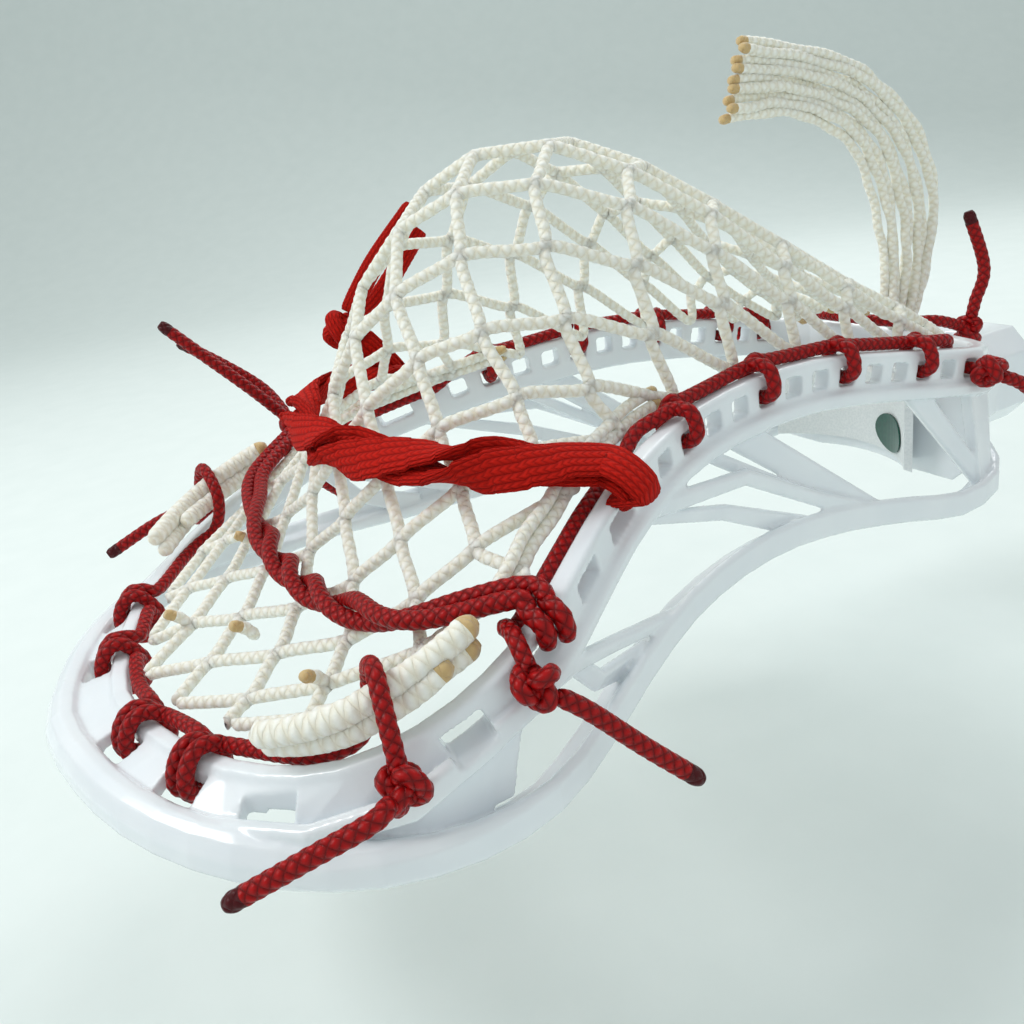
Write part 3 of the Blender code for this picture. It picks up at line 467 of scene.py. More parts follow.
def yarn_finish(name, colours, height_of, strands, pitch_mm, depth_mm, constants):
    """Plaited or knitted yarn: its own colour on the raised stitches, painted shade in the hollows
    between them, sealed at its tips.
    """
    painted_crevice_shade, yarn_colour, tip = colours
    look, tree, shader = new_finish(name, constants)
    height = height_of(tree, strands, pitch_mm)
    where = add(tree, "ShaderNodeTexCoord")
    patches = add(tree, "ShaderNodeTexNoise", links={"Vector": where.outputs["Object"],
                                                     "Scale": 1 / (6 * MM), "Detail": 3.0})
    fibres = add(tree, "ShaderNodeTexNoise", links={"Vector": where.outputs["Object"],
                                                    "Scale": 1 / (0.35 * MM), "Detail": 2.0})
    # Painted shade: the base colour darkens from the yarn's own colour on the raised stitches to a
    # shade colour in the hollows between strands
    yarn = add(tree, "ShaderNodeMix", {"data_type": "RGBA"},
               {0: height, 6: linear(painted_crevice_shade), 7: linear(yarn_colour)})
    worn = add(tree, "ShaderNodeMix", {"data_type": "RGBA", "blend_type": "MULTIPLY"},
               {0: 0.06, 6: yarn.outputs[2], 7: patches.outputs[0]})
    seal = add(tree, "ShaderNodeAttribute", {"attribute_name": "sealed"})
    sealed = add(tree, "ShaderNodeMath", {"operation": "GREATER_THAN"},
                 {0: seal.outputs["Fac"], 1: 0.05})
    ends = add(tree, "ShaderNodeMix", {"data_type": "RGBA"},
               {0: sealed.outputs[0], 6: worn.outputs[2], 7: linear(tip)})
    rough = add(tree, "ShaderNodeMath", {"operation": "MULTIPLY_ADD"},
                {0: fibres.outputs[0], 1: 0.25, 2: height})
    raised = add(tree, "ShaderNodeBump", links={"Strength": 0.9, "Distance": depth_mm * MM,
                                                "Height": rough.outputs[0]})
    tree.links.new(ends.outputs[2], shader.inputs["Base Color"])
    tree.links.new(raised.outputs[0], shader.inputs["Normal"])
    return look


def gloss_nylon(white):
    """Injection-moulded nylon: hard gloss, a trace of depth, and the faint ripple of a mould."""
    look, tree, shader = new_finish("moulded_nylon", {
        "Roughness": 0.2, "IOR": 1.53, "Coat Weight": 0.25, "Coat Roughness": 0.08,
        "Subsurface Weight": 0.12, "Subsurface Scale": 0.004,
        "Subsurface Radius": (0.9, 0.95, 1.0)})
    where = add(tree, "ShaderNodeTexCoord")
    ripple = add(tree, "ShaderNodeTexNoise", links={"Vector": where.outputs["Object"],
                                                    "Scale": 1 / (18 * MM), "Detail": 2.0})
    grain = add(tree, "ShaderNodeTexNoise", links={"Vector": where.outputs["Object"],
                                                   "Scale": 1 / (0.8 * MM), "Detail": 4.0})
    tone = add(tree, "ShaderNodeMix", {"data_type": "RGBA"},
               {0: ripple.outputs[0], 6: linear(white), 7: linear("#E3E9EF")})
    heights = add(tree, "ShaderNodeMath", {"operation": "MULTIPLY_ADD"},
                  {0: grain.outputs[0], 1: 0.05, 2: ripple.outputs[0]})
    raised = add(tree, "ShaderNodeBump", links={"Strength": 0.35, "Distance": 0.35 * MM,
                                                "Height": heights.outputs[0]})
    gloss = add(tree, "ShaderNodeMapRange", links={0: grain.outputs[0], 3: 0.14, 4: 0.3})
    tree.links.new(tone.outputs[2], shader.inputs["Base Color"])
    tree.links.new(gloss.outputs[0], shader.inputs["Roughness"])
    tree.links.new(raised.outputs[0], shader.inputs["Normal"])
    return look


def closed_foam():
    """Closed-cell foam: soft, matt and slightly pitted by cut cells of about half a millimetre."""
    look, tree, shader = new_finish("closed_cell_foam", {"Roughness": 0.9, "IOR": 1.45})
    where = add(tree, "ShaderNodeTexCoord")
    cells = add(tree, "ShaderNodeTexVoronoi", links={"Vector": where.outputs["Object"],
                                                     "Scale": 1 / (0.7 * MM)})
    tone = add(tree, "ShaderNodeMix", {"data_type": "RGBA"},
               {0: cells.outputs[0], 6: linear("#DFE4E6"), 7: linear("#EEF1F2")})
    raised = add(tree, "ShaderNodeBump", links={"Strength": 0.4, "Distance": 0.1 * MM,
                                                "Height": cells.outputs[0]})
    tree.links.new(tone.outputs[2], shader.inputs["Base Color"])
    tree.links.new(raised.outputs[0], shader.inputs["Normal"])
    return look


def vinyl_sticker(green):
    """Printed vinyl: an even satin film with the slightest orange peel."""
    look, tree, shader = new_finish("vinyl_sticker", {"Roughness": 0.35, "IOR": 1.5,
                                                      "Coat Weight": 0.2})
    where = add(tree, "ShaderNodeTexCoord")
    peel = add(tree, "ShaderNodeTexNoise", links={"Vector": where.outputs["Object"],
                                                  "Scale": 1 / (1.2 * MM)})
    tone = add(tree, "ShaderNodeMix", {"data_type": "RGBA"},
               {0: peel.outputs[0], 6: linear(green), 7: linear("#0E5A49")})
    raised = add(tree, "ShaderNodeBump", links={"Strength": 0.2, "Distance": 0.05 * MM,
                                                "Height": peel.outputs[0]})
    tree.links.new(tone.outputs[2], shader.inputs["Base Color"])
    tree.links.new(raised.outputs[0], shader.inputs["Normal"])
    return look


# --- routes --------------------------------------------------------------------------------

def hole_station(share):
    """Rail station beside a hole behind the scoop lip."""
    t = next(n / 50 for n in range(50 * LAST) if hermite(FACE_RIM, n / 50).x >= share)
    low, _, outward = outline(FACE_RIM, t)
    high = outline(STRING_RAIL, t)[0]
    edge = low - outward * LIP_WIDE
    depth = (high - edge).dot(-outward) - 0.4
    middle = edge - outward * depth / 2
    spots = [(on_rail(n / 50, 1, 0, 0) - middle).xy.length for n in range(50 * 5)]
    return spots.index(min(spots)) / 50


def scoop_wraps(share, side):
    """Two turns of the top string through a scoop hole and round the inner bar."""
    t = hole_station(share)
    mm = per_mm(t)
    r = STRING_DIA / 2 + GAP
    turns = []
    for shift in (1.6, -2.2):
        s = t + shift * mm
        turns.extend([
            on_rail(s + 1.4 * mm, side, 3.4, -r - 0.5),
            on_rail(s + 0.8 * mm, side, 0.0, -r - 0.6),
            on_rail(s + 0.2 * mm, side, -r - 0.7, 1.0),
            on_rail(s - 0.4 * mm, side, -r - 0.8, 5.6),
            on_rail(s - 1.0 * mm, side, 1.4, 4 + r + 2.2),
            on_rail(s - 1.6 * mm, side, 4.2 + r, 6.8),
            on_rail(s - 2.0 * mm, side, 4.2 + r + 0.5, 2.4),
        ])
    return [on_rail(t + 6.0 * mm, side, 4.2 + r, -0.6), *turns,
            on_rail(t - 6.6 * mm, side, 4.2 + r + 0.2, -0.6)]


def top_route(knots):
    half = {}
    for side in (1, -1):
        half[side] = [
            beyond(knots[side], on_rail(4.7, side, -4, -6), KNOT_R - 1.6),
            on_rail(4.7, side, -3.2, -8.5), on_rail(4.65, side, 2.2, -14.8),
            on_rail(4.55, side, 7.8, -13.9), on_rail(4.45, side, 11.4, -9.0),
            on_rail(4.35, side, 11.0, -3.6), on_rail(4.15, side, 9.4, 0.0),
            on_rail(3.8, side, 7.4, 0.4), on_rail(3.3, side, 6.6, 0.3),
        ]
        for share in (SCOOP_HOLES[1], SCOOP_HOLES[0]):
            half[side].extend(scoop_wraps(share, side))
    return half[1] + [on_rail(0, 1, 6.5, -0.2)] + list(reversed(half[-1]))


def rail_wraps(station, side):
    """One turn of string over the rail, out through a slot and back up inside."""
    mm = per_mm(station)
    out, inside = -(STRING_DIA / 2 + GAP), RAIL_THICK + STRING_DIA / 2 + GAP
    route = [on_rail(station - 4.0 * mm, side, RUN_INWARD, -RUN_UP)]
    for shift in (0.0,):
        s = station + shift * mm
        route.extend([
            on_rail(s - 1.6 * mm, side, 2.2, -RUN_UP - 0.7),
            on_rail(s - 0.8 * mm, side, out + 0.6, -1.8),
            on_rail(s - 0.4 * mm, side, out - 0.5, SLOT_DROP - 2.4),
            on_rail(s, side, 0.4, SLOT_DROP + 0.1),
            on_rail(s + 0.2 * mm, side, RAIL_THICK - 0.4, SLOT_DROP + 0.1),
            on_rail(s + 0.6 * mm, side, inside + 0.5, SLOT_DROP - 2.2),
            on_rail(s + 1.0 * mm, side, inside + 0.2, 0.2),
            on_rail(s + 1.4 * mm, side, inside - 1.8, -RUN_UP - 0.9),
        ])
    route.append(on_rail(station + 4.6 * mm, side, RUN_INWARD, -RUN_UP))
    return route


def sidewall_route(side, start):
    beside = RAIL_THICK + STRING_DIA / 2 + GAP
    route = [beyond(start, on_rail(6.4, side, 0, -3), KNOT_R - 1.6),
             on_rail(6.42, side, 0.2, -RUN_UP - 0.6), on_rail(6.5, side, 3.4, -RUN_UP - 0.6),
             on_rail(6.6, side, beside - 0.2, 0.7 - STRING_DIA / 2)]
    route.extend(on_rail(t, side, INNER_RUN, 2.0) for t in (6.85, 7.5, 8.1, 8.7, 9.3, 9.7))
    route.append(on_rail(10.1, side, INNER_RUN - 0.2, -1.0))
    for number in LOOP_SLOTS:
        route.extend(rail_wraps(slot_station(number), side))
    last = slot_station(END_SLOT)
    mm = per_mm(last)
    route.extend([on_rail(last - 5 * mm, side, RUN_INWARD + 0.6, -RUN_UP),
                  on_rail(last - 2 * mm, side, beside + 0.1, 0),
                  on_rail(last - 0.5 * mm, side, beside - 0.3, SLOT_DROP - 1.2),
                  on_rail(last, side, RAIL_THICK - 1.4, SLOT_DROP),
                  on_rail(last, side, -2.6, SLOT_DROP)])
    return route


def knot_places():
    """Middle of every knot, as the solid parts have them."""
    spots = {}
    for word, side in (("right", 1), ("left", -1)):
        spots["top_string_knot_" + word] = on_rail(4.75, side, -KNOT_R - 4.1, 2.0)
        spots["sidewall_top_knot_" + word] = on_rail(6.38, side, -KNOT_R - GAP - 0.2, 3.4)
        spots["sidewall_end_knot_" + word] = on_rail(slot_station(END_SLOT), side,
                                                     -KNOT_R - GAP - 0.2, SLOT_DROP)
    spots["nylon_shooter_knot"] = on_rail(6.9, -1, -6.0, -3.6)
    spots["bottom_string_knot"] = Vector((15.5, THROAT_Y + 7, SOCKET_TOP + KNOT_R + GAP + 0.2))
    spots["lace_knot"] = lace_stops()[-1][0] + Vector((0.6, -4.0, 5.4))
    return spots


def nylon_stops():
    """Middle line of the round shooting string, from the right rail to the left one."""
    lift = MESH_DIA / 2 + GAP + NYLON_DIA / 2 + 0.5
    r = NYLON_DIA / 2 + GAP
    t = 6.9
    middle = [on_rail(t, 1, -r - 0.1, 3.6), on_rail(t, 1, -r + 0.4, -0.6),
              on_rail(t, 1, 1.6, -r - 0.6), on_rail(t, 1, 6.0, -r - 2.6)]
    for share in (0.8, 0.55, 0.28, 0, -0.28, -0.55, -0.8):
        middle.append(over_net(t, share, lift + 1.2 * abs(share)))
    middle.extend([on_rail(t, -1, 6.0, -r - 2.6), on_rail(t, -1, 1.6, -r - 0.6),
                   on_rail(t, -1, -2.6, -r - 0.8)])
    return middle


def lace_stops():
    """Middle line and edge direction of the flat lace, right rail to the knot on the left."""
    t = 9.0
    r = LACE_THICK + GAP
    lift = 2.6 / 2 + GAP + LACE_THICK + 0.5
    along = outline(STRING_RAIL, t)[1]
    lefts = Vector((-along.x, along.y, along.z))
    stops = [(on_rail(t, 1, -r - 0.1, 3.0), along), (on_rail(t, 1, -r + 0.1, 0.2), along),
             (on_rail(t, 1, 1.0, -r - 0.5), along), (on_rail(t, 1, 5.0, -r - 1.6), along)]
    for share in (0.88, 0.7, 0.5, 0.3, 0.1, -0.1, -0.3, -0.5, -0.7, -0.88):
        ahead = (net_point(t + 0.1, share) - net_point(t - 0.1, share)).normalized()
        stops.append((over_net(t, share, lift + 0.8 * abs(share)), ahead))
    rail = on_rail(t, -1, 2.2, -r - 2.6)
    stops.extend([(on_rail(t, -1, 5.6, -r - 1.7), lefts), (rail, lefts),
                  (rail + Vector((1.0, -4.5, 6.5)), lefts),
                  (rail + Vector((1.6, -9.5, 13.0)), lefts)])
    return stops


LOOSE_ENDS = (
    ("top_tail_right", "top_string_knot_right",
     ((5.5, -7.5, 0.5), (4, -18.5, -2), (-1.5, -32, -8))),
    ("top_tail_left", "top_string_knot_left",
     ((-7.5, -3.5, -0.5), (-11.5, -13.5, -3.5), (-10.5, -30, -9))),
    ("sidewall_tail_right", "sidewall_top_knot_right",
     ((4.5, 7.5, -6.5), (8.5, 15.5, -15.5), (12.5, 24.5, -25))),
    ("sidewall_tail_left", "sidewall_top_knot_left",
     ((-7.5, 5.5, -3.5), (-12.5, 13.5, -12.5), (-14.5, 23.5, -23))),
    ("throat_tail_right", "sidewall_end_knot_right",
     ((4, 9.5, -6), (7, 18.5, -16), (8, 28.5, -23))),
    ("throat_tail_left", "sidewall_end_knot_left",
     ((-4, 8.5, -5), (-6, 17.5, -13), (-7, 30, -21))),
    ("nylon_tail_front", "nylon_shooter_knot",
     ((-0.5, -11.5, 15), (-4.5, -21.5, 27), (-9.5, -31.5, 39))),
    ("nylon_tail_back", "nylon_shooter_knot",
     ((-10.5, -5.5, 12), (-15.5, -15.5, 22), (-19.5, -26.5, 31))),
    ("bottom_tail", "bottom_string_knot",
     ((1.5, 1, 9.5), (2.5, 3, 19.5), (-1.5, 0, 36.5))),
    ("lace_tail_front", "lace_knot", ((0.5, 7.5, 10), (0, 15, 18), (-0.5, 29, 30))),
    ("lace_tail_back", "lace_knot", ((-5, 12, 4), (-7, 21, 11), (-6, 32, 23))),
)


# --- settings, operators and panel -----------------------------------------------------------

def colour_property(name, text, hex_colour):
    return bpy.props.StringProperty(name=name, description=text, default=hex_colour)


def length_property(name, text, millimetres):
    return bpy.props.FloatProperty(name=name, description=text, default=millimetres * MM,
                                   subtype="DISTANCE", unit="LENGTH", precision=4)


class HeadColours(bpy.types.PropertyGroup):
    nylon_white: colour_property("Frame", "sRGB hex of the moulded frame", "#F3F7FA")
    mesh_cream: colour_property("Mesh", "sRGB hex of the mesh's raised yarn", "#FFFFF5")
    # The mesh, cord and lace shade colours are painted shade, laid in the hollows between the
    # yarns
    mesh_painted_shade: colour_property("Mesh shade", "sRGB hex between the mesh's yarns", "#F4EEDC")
    cord_red: colour_property("Cord", "sRGB hex of the cord's raised yarn", "#AE0A0C")
    cord_painted_shade: colour_property("Cord shade", "sRGB hex between the cord's yarns", "#6C0406")
    lace_red: colour_property("Lace", "sRGB hex of the lace's raised yarn", "#C81C10")
    lace_painted_shade: colour_property("Lace shade", "sRGB hex between the lace's yarns", "#8E0E08")
    mesh_tip: colour_property("Mesh ends", "sRGB hex of sealed mesh ends", "#CDB07C")
    cord_tip: colour_property("Cord ends", "sRGB hex of sealed cord ends", "#4A0A10")
    label_green: colour_property("Label", "sRGB hex of the oval label", "#083A30")
    backdrop: colour_property("Backdrop", "sRGB hex of the floor and backdrop", "#DDE6E4")


class HeadSizes(bpy.types.PropertyGroup):
    mesh_cord: length_property("Mesh cord", "Diameter of one cord of the mesh", MESH_DIA)
    string: length_property("String", "Diameter of the top and sidewall strings", STRING_DIA)
    nylon: length_property("Round shooter", "Diameter of the round shooting string", NYLON_DIA)
    loose_end: length_property("Loose end", "Diameter of the loose cord ends", TAIL_DIA)
    soften: length_property("Mould radius", "Grid that rounds the frame's moulded edges", 0.5)


def settings():
    scene = bpy.context.scene
    return scene.lacrosse_colours, scene.lacrosse_sizes


def finish(name):
    """The head's finishes, each made once."""
    if name in bpy.data.materials:
        return bpy.data.materials[name]
    c, _ = settings()
    if name == "moulded_nylon":
        return gloss_nylon(c.nylon_white)
    if name == "closed_cell_foam":
        return closed_foam()
    if name == "vinyl_sticker":
        return vinyl_sticker(c.label_green)
    if name == "plaited_polyester_mesh":
        # Plaited polyester mesh cord, hard-laid: a crisp chalky yarn with a low sheen
        return yarn_finish(name, (c.mesh_painted_shade, c.mesh_cream, c.mesh_tip),
                           plait_height, *MESH_PLAIT, 0.4,
                           {"Roughness": 0.7, "Sheen Weight": 0.4, "Sheen Roughness": 0.5,
                            "Subsurface Weight": 0.4, "Subsurface Scale": 0.002,
                            "Subsurface Radius": (1.0, 0.97, 0.88)})
    if name == "braided_nylon_cord":
        # Braided nylon cord: filament yarn with a silky glint on each plait of about 2 mm
        return yarn_finish(name, (c.cord_painted_shade, c.cord_red, c.cord_tip),
                           plait_height, *CORD_PLAIT, 0.35,
                           {"Roughness": 0.4, "Specular IOR Level": 0.2})
    if name == "knitted_lace":
        # Knitted polyester lace: soft rows of stitches about 1.6 mm long, quite matt
        return yarn_finish(name, (c.lace_painted_shade, c.lace_red, c.cord_tip),
                           knit_height, *LACE_KNIT, 0.4,
                           {"Roughness": 0.8, "Specular IOR Level": 0.12})
    raise ValueError("no finish is named " + name)


class LACROSSE_OT_camera(bpy.types.Operator):
    """Place the camera beside the scoop, looking back over the head"""
    bl_idname = "lacrosse.camera"
    bl_label = "Camera"

    def execute(self, context):
        data = bpy.data.cameras.new("camera")
        data.sensor_width = 36.0
        data.lens = 33.4
        data.clip_start = 0.005
        item = bpy.data.objects.new("camera", data)
        context.scene.collection.objects.link(item)
        right = Vector((0.4723, 0.8701, -0.1412))
        up = Vector((-0.2727, 0.2966, 0.9153))
        back = Vector((0.8382, -0.3937, 0.3773))
        turn = Matrix((right, up, back)).transposed().to_4x4()
        item.matrix_world = Matrix.Translation((0.2149, -0.1337, 0.1217)) @ turn
        context.scene.camera = item
        return {"FINISHED"}


class LACROSSE_OT_loose_ends(bpy.types.Operator):
    """Make the loose ends of the strings and laces, each from its knot"""
    bl_idname = "lacrosse.loose_ends"
    bl_label = "Loose ends"

    def execute(self, context):
        _, sizes = settings()
        knots = knot_places()
        radii = {"nylon_shooter_knot": BIG_KNOT_R, "lace_knot": LACE_KNOT_R}
        for name, knot_name, offsets in LOOSE_ENDS:
            centre = knots[knot_name]
            points = [centre + Vector(offset) for offset in offsets]
            points.insert(0, beyond(centre, points[0], radii.get(knot_name, KNOT_R) - 1.0))
            lace = knot_name == "lace_knot"
            dia = LACE_TAIL_DIA if lace else sizes.loose_end / MM
            route = resample(points, 0.5)
            if lace:
                mesh = sweep(name, route, 3.1, 1.9, 0.08, 10, 2.0, 40, taper=0.15)
            else:
                mesh = sweep(name, route, dia / 2, dia / 2, 0.10, *CORD_PLAIT, 20,
                             taper=0.35, melt=4.0)
            look = finish("knitted_lace" if lace else "braided_nylon_cord")
            item = piece(name + "_cord", [mesh], look, "head",
                         (name,))
        return {"FINISHED"}


class LACROSSE_OT_frame(bpy.types.Operator):
    """Give the moulded frame, its foam stop and its label their finishes"""
    bl_idname = "lacrosse.frame"
    bl_label = "Frame"

    def execute(self, context):
        _, sizes = settings()
        for name, look in (("head_frame", "moulded_nylon"), ("ball_stop_pad", "closed_cell_foam"),
                           ("ball_stop_label", "vinyl_sticker")):
            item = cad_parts[name]
            item.data.materials.clear()
            item.data.materials.append(finish(look))
            item.data.shade_smooth()
        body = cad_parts["head_frame"]
        grid = body.modifiers.new("mould_grid", "REMESH")
        grid.mode = "VOXEL"
        grid.voxel_size = sizes.soften
        grid.use_smooth_shade = True
        relax = body.modifiers.new("mould_radius", "SMOOTH")
        relax.factor = 0.5
        relax.iterations = 2
        return {"FINISHED"}


class LACROSSE_OT_bag(bpy.types.Operator):
    """Knit the bag of the pocket from zigzag cords that meet at its diamonds"""
    bl_idname = "lacrosse.bag"
    bl_label = "Mesh bag"

    def execute(self, context):
        _, sizes = settings()
        dia = sizes.mesh_cord / MM
        rows = net_rows(2 * CELLS_ALONG)
        columns = 2 * CELLS_ACROSS
        meshes = []
        for c in range(columns):
            points = []
            for i, station in enumerate(rows):
                j = c if (i + c) % 2 == 0 else c + 1
                share = j / CELLS_ACROSS - 1
                spot = net_point(station, share)
                over = (net_point(station, min(share + 0.02, 1)) - net_point(station,
                        max(share - 0.02, -1))).normalized()
                along = (net_point(min(station + 0.02, NET_END), share)
                         - net_point(max(station - 0.02, NET_START), share)).normalized()
                toward = 1 if j == c else -1
                apart = 0.46 * dia if 0 < j < columns else 0.2 * dia
                wander = noise.noise_vector(spot / 9.0) * 0.7
                centre = spot + over * toward * apart + wander
                half_join = 1.7 if 0 < i < len(rows) - 1 else 0.6
                points.extend([centre - along * half_join, centre + along * half_join])
            route = resample(points, 0.9)
            meshes.append(sweep("cord", route, dia / 2, dia / 2, 0.16, *MESH_PLAIT, 10,
                                taper=0.4, melt=3.0 if c % 3 == 0 else 0.0))
        for side in (1, -1):
            for inward, down in ((11.2, 0.2), (12.6, -2.4)):
                stops = [on_rail(t, side, inward + 0.4 * math.sin(5 * t), down - 1.2)
                         for t in (6.9, 7.4, 7.9, 8.4, 8.9, 9.4, 9.9, 10.4, 10.9)]
                meshes.append(sweep("edge", resample(stops, 0.9),
                                    dia / 2, dia / 2, 0.16, *MESH_PLAIT,
                                    8, taper=0.4, melt=3.0))
        for row, column, lean in ((2, 7, 0.4), (3, 4, -0.5), (2, 10, 0.9), (1, 5, 0.1)):
            spot = net_point(rows[row], column / CELLS_ACROSS - 1)
            end = spot + Vector((3.5 * math.sin(lean), -5.0, 5.5))
            stub = [spot, spot + (end - spot) * 0.4 + Vector((0, 0, 1)), end]
            meshes.append(sweep("stub", resample(stub, 0.6),
                                dia / 2, dia / 2, 0.16, *MESH_PLAIT, 10,
                                taper=0.3, melt=2.5))
        piece("mesh_bag", meshes, finish("plaited_polyester_mesh"), "head",
              ("mesh_pocket",))
        return {"FINISHED"}


class LACROSSE_OT_folds(bpy.types.Operator):
    """Roll the doubled corners of the mesh behind the scoop"""
    bl_idname = "lacrosse.folds"
    bl_label = "Mesh folds"

    def execute(self, context):
        for word, side in (("right", 1), ("left", -1)):
            spine = [on_rail(3.0, side, 3.5, -7.0), on_rail(3.6, side, 3.8, -7.2),
                     on_rail(4.2, side, 4, -7.2), on_rail(4.7, side, 4.4, -7.4),
                     on_rail(5.2, side, 4.8, -7.2), on_rail(5.7, side, 5.8, -6.9),
                     on_rail(6.05, side, 6.6, -6.6)]
            meshes = []
            for k, dia in enumerate((5.2, 4.8, 4.4)):
                points = []
                for n, spot in enumerate(spine):
                    angle = 2 * math.pi * k / 3 + 0.28 * n + 0.5
                    across = Vector((side * 0.7, -0.7, 0))
                    points.append(spot + across * 2.5 * math.cos(angle)
                                  + Vector((0, 0, 2.4 * math.sin(angle))))
                if k == 1:
                    points = points[1:]
                if k == 2:
                    points = points[:-1]
                meshes.append(sweep("roll", resample(points, 0.8), dia / 2, dia / 2, 0.14, 3, 3.6,
                                    14, taper=0.5, melt=3.0))
            piece("mesh_fold_rolls_" + word, meshes, finish("plaited_polyester_mesh"), "head",
                  ("mesh_fold_" + word,))
        return {"FINISHED"}


class LACROSSE_OT_tail(bpy.types.Operator):
    """Fan the spare end of the mesh out from the throat"""
    bl_idname = "lacrosse.tail"
    bl_label = "Mesh tail"

    def execute(self, context):
        _, sizes = settings()
        dia = sizes.mesh_cord / MM - 0.1
        outer = [Vector((0, y + THROAT_Y, z)) for y, z in TAIL_OUTER]
        inner = [Vector((0, y + THROAT_Y, z)) for y, z in TAIL_INNER]
        strands = 9
        meshes = []
        last = len(outer) - 1
        for k in range(strands):
            points = []
            for n in range(2 * last + 1):
                a, b = hermite(outer, n / 2), hermite(inner, n / 2)
                zigzag = 0.012 * (1 if (n + k) % 2 else -1)
                share = min(max((k + 0.5) / strands + zigzag, 0.03), 0.97)
                wide = 2.4 * (1 if k % 2 else -1) * (1 - 0.45 * ease(n / 2, 0, 4))
                spot = b + (a - b) * share
                spot.x += wide * 0.5 + wide * 0.35 * math.sin(1.1 * n + k)
                points.append(spot + noise.noise_vector(spot / 12.0) * 0.6)
            meshes.append(sweep("strand", resample(points, 0.9),
                                dia / 2, dia / 2, 0.16, *MESH_PLAIT,
                                8, taper=0.3, melt=2.5))
        piece("mesh_tail_fan", meshes, finish("plaited_polyester_mesh"), "tail",
              ("mesh_tail",))
        return {"FINISHED"}


class LACROSSE_OT_strings(bpy.types.Operator):
    """Lace the bag to the scoop, the rails and the throat"""
    bl_idname = "lacrosse.strings"
    bl_label = "Strings"

    def execute(self, context):
        _, sizes = settings()
        dia = sizes.string / MM
        look = finish("braided_nylon_cord")
        knots = knot_places()
        ends = {side: knots["top_string_knot_" + word]
                for word, side in (("right", 1), ("left", -1))}
        piece("top_lacing", [cord("c", top_route(ends), dia)], look, "head",
              ("top_string",))
        for word, side in (("right", 1), ("left", -1)):
            route = sidewall_route(side, knots["sidewall_top_knot_" + word])
            piece("sidewall_lacing_" + word, [cord("c", route, dia)], look, "head",
                  ("sidewall_string_" + word,))
        knot = knots["bottom_string_knot"]
        back = THROAT_Y
        route = [Vector((-27, back - 14, 46.2)), Vector((-16, back - 16.4, 47.0)),
                 Vector((0, back - 17.4, 47.6)), Vector((10, back - 14.5, 47.4)),
                 Vector((14.5, back - 6, 46.4)), beyond(knot, (15.5, back + 1, 45), KNOT_R - 1.6)]
        piece("bottom_lacing", [cord("c", route, dia)], look, "head",
              ("bottom_string",))
        lean = 0.4
        for name, spot in knots.items():
            if name in ("lace_knot", "nylon_shooter_knot"):
                continue
            piece(name + "_tied", [overhand_knot("k", spot, KNOT_R, dia, lean)], look, "head",
                  (name,))
            lean += 0.9
        return {"FINISHED"}


class LACROSSE_OT_shooters(bpy.types.Operator):
    """Lay the two shooting strings over the bag: one of round cord, one of flat lace"""
    bl_idname = "lacrosse.shooters"
    bl_label = "Shooting strings"

    def execute(self, context):
        _, sizes = settings()
        dia = sizes.nylon / MM
        knots = knot_places()
        cord_look, lace_look = finish("braided_nylon_cord"), finish("knitted_lace")
        middle = resample(nylon_stops(), 0.7)
        flats = turning_frames(middle, Vector((0, 1, 0)))
        for phase, name in ((0.0, "front"), (math.pi, "back")):
            route = []
            for i, spot in enumerate(middle):
                ahead = middle[min(i + 1, len(middle) - 1)] - middle[max(i - 1, 0)]
                normal = ahead.normalized().cross(flats[i])
                share = i / (len(middle) - 1)
                angle = phase + 2 * math.pi * 2.5 * ease(share, 0.12, 0.8)
                route.append(spot + flats[i] * (dia * 0.54 * math.cos(angle))
                             + normal * (dia * 0.54 * math.sin(angle)))
            mesh = sweep("c", route, dia / 2, dia / 2, 0.10, *CORD_PLAIT, 20, taper=0.3)
            piece("round_shooter_" + name, [mesh], cord_look, "head",
                  ("nylon_shooter_" + name,))
        piece("nylon_shooter_knot_tied",
              [overhand_knot("k", knots["nylon_shooter_knot"], BIG_KNOT_R, dia, 1.3)],
              cord_look, "head", ("nylon_shooter_knot",))
        stops = lace_stops()
        line = resample([spot for spot, _ in stops], 0.8)
        edges = resample([side * 10 for _, side in stops], 0.8)
        meshes = []
        for phase in (0.5 * math.pi, -0.5 * math.pi):
            route, sides = [], []
            for i, spot in enumerate(line):
                share = i / (len(line) - 1)
                ahead = (line[min(i + 1, len(line) - 1)] - line[max(i - 1, 0)]).normalized()
                flat = edges[round(share * (len(edges) - 1))]
                flat = (flat - ahead * ahead.dot(flat)).normalized()
                normal = ahead.cross(flat)
                if normal.z < 0:
                    normal = -normal
                around = 2 * math.pi * 2.0 * min(max((share - 0.1) / 0.82, 0.0), 1.0)
                angle = phase + around
                route.append(spot + normal * (2.4 + 1.5 * math.sin(angle))
                             + flat * (2.6 * math.cos(angle)))
                sides.append(flat * math.cos(around) + normal * (0.55 * math.sin(around)))
            meshes.append(sweep("lace", route, 4.5, 1.5, 0.07, *LACE_KNIT, 56, flats=sides,
                                taper=0.3, pattern=knit))
        piece("flat_shooter", meshes, lace_look, "head", ("lace_shooter",))
        piece("lace_knot_tied",
              [overhand_knot("k", knots["lace_knot"], LACE_KNOT_R, 5.0, 2.1)],
              lace_look, "head", ("lace_knot",))
        return {"FINISHED"}


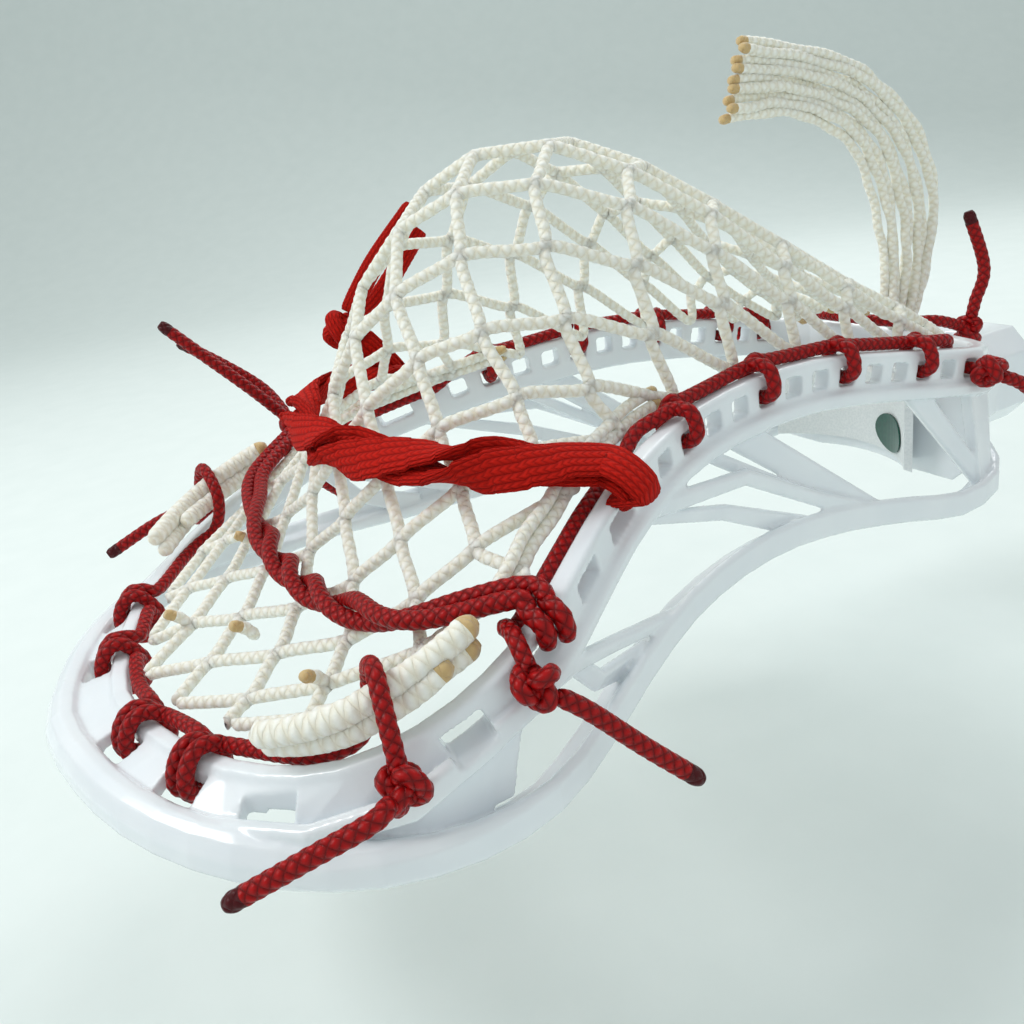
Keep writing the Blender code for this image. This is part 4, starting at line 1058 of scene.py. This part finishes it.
class LACROSSE_OT_stage(bpy.types.Operator):
    """Set a pale floor that sweeps up into a backdrop, and soft studio lights"""
    bl_idname = "lacrosse.stage"
    bl_label = "Stage"

    def execute(self, context):
        colours, _ = settings()
        bm = bmesh.new()
        floor_z, reach, rise, bend = -0.075, 2.4, 2.2, 0.9
        profile = [(reach, floor_z)]
        for n in range(13):
            a = math.pi / 2 * n / 12
            profile.append((-1.1 - bend * math.sin(a), floor_z + bend * (1 - math.cos(a))))
        profile.append((-1.1 - bend, floor_z + rise))
        rows = []
        for along, high in profile:
            middle = Vector((0.9, -0.42, 0)).normalized() * along
            across = Vector((0.42, 0.9, 0)).normalized() * 3.0
            rows.append([bm.verts.new((*(middle + across * s).xy, high)) for s in (-1, 1)])
        for a, b in zip(rows, rows[1:]):
            bm.faces.new((a[0], a[1], b[1], b[0])).smooth = True
        mesh = bpy.data.meshes.new("backdrop")
        bm.to_mesh(mesh)
        bm.free()
        look, tree, shader = new_finish("matt_paper", {"Roughness": 0.85})
        where = add(tree, "ShaderNodeTexCoord")
        fibre = add(tree, "ShaderNodeTexNoise", links={"Vector": where.outputs["Object"],
                                                       "Scale": 40.0, "Detail": 3.0})
        tone = add(tree, "ShaderNodeMix", {"data_type": "RGBA"},
                   {0: fibre.outputs[0], 6: linear(colours.backdrop), 7: linear("#E4ECEA")})
        tree.links.new(tone.outputs[2], shader.inputs["Base Color"])
        mesh.materials.append(look)
        backdrop = bpy.data.objects.new("backdrop", mesh)
        context.scene.collection.objects.link(backdrop)
        for name, spot, size, power in (("key", (-0.35, -0.8, 0.9), 0.45, 6.8),
                                        ("fill", (0.9, 0.2, 0.5), 0.8, 0.8),
                                        ("back", (-0.6, 0.7, 0.9), 0.7, 6.2)):
            data = bpy.data.lights.new(name, "AREA")
            data.size = size
            data.energy = power
            lamp = bpy.data.objects.new(name, data)
            lamp.location = spot
            aim = Vector((0, 0, 0.03)) - Vector(spot)
            lamp.rotation_euler = aim.to_track_quat("-Z", "Y").to_euler()
            context.scene.collection.objects.link(lamp)
        context.scene.view_settings.view_transform = "Standard"
        world = bpy.data.worlds.new("studio")
        world.use_nodes = True
        world.node_tree.nodes["Background"].inputs["Color"].default_value = linear("#EEF5F4")
        world.node_tree.nodes["Background"].inputs["Strength"].default_value = 0.65
        context.scene.world = world
        return {"FINISHED"}


OPERATORS = (LACROSSE_OT_camera, LACROSSE_OT_loose_ends, LACROSSE_OT_frame, LACROSSE_OT_bag,
             LACROSSE_OT_folds, LACROSSE_OT_tail, LACROSSE_OT_strings, LACROSSE_OT_shooters,
             LACROSSE_OT_stage)


class LACROSSE_PT_panel(bpy.types.Panel):
    """The head's colours, sizes and steps"""
    bl_idname = "LACROSSE_PT_panel"
    bl_label = "Lacrosse head"
    bl_space_type = "VIEW_3D"
    bl_region_type = "UI"
    bl_category = "Lacrosse"

    def draw(self, context):
        for group in settings():
            box = self.layout.box()
            for key in group.__annotations__:
                box.prop(group, key)
        for step in OPERATORS:
            self.layout.operator(step.bl_idname)


CLASSES = (HeadColours, HeadSizes, *OPERATORS, LACROSSE_PT_panel)


def register():
    for item in CLASSES:
        bpy.utils.register_class(item)
    bpy.types.Scene.lacrosse_colours = bpy.props.PointerProperty(type=HeadColours)
    bpy.types.Scene.lacrosse_sizes = bpy.props.PointerProperty(type=HeadSizes)


def unregister():
    del bpy.types.Scene.lacrosse_sizes
    del bpy.types.Scene.lacrosse_colours
    for item in reversed(CLASSES):
        bpy.utils.unregister_class(item)


def main():
    register()
    for step in OPERATORS:
        group, name = step.bl_idname.split(".")
        getattr(getattr(bpy.ops, group), name)()


if __name__ == "__main__":
    main()
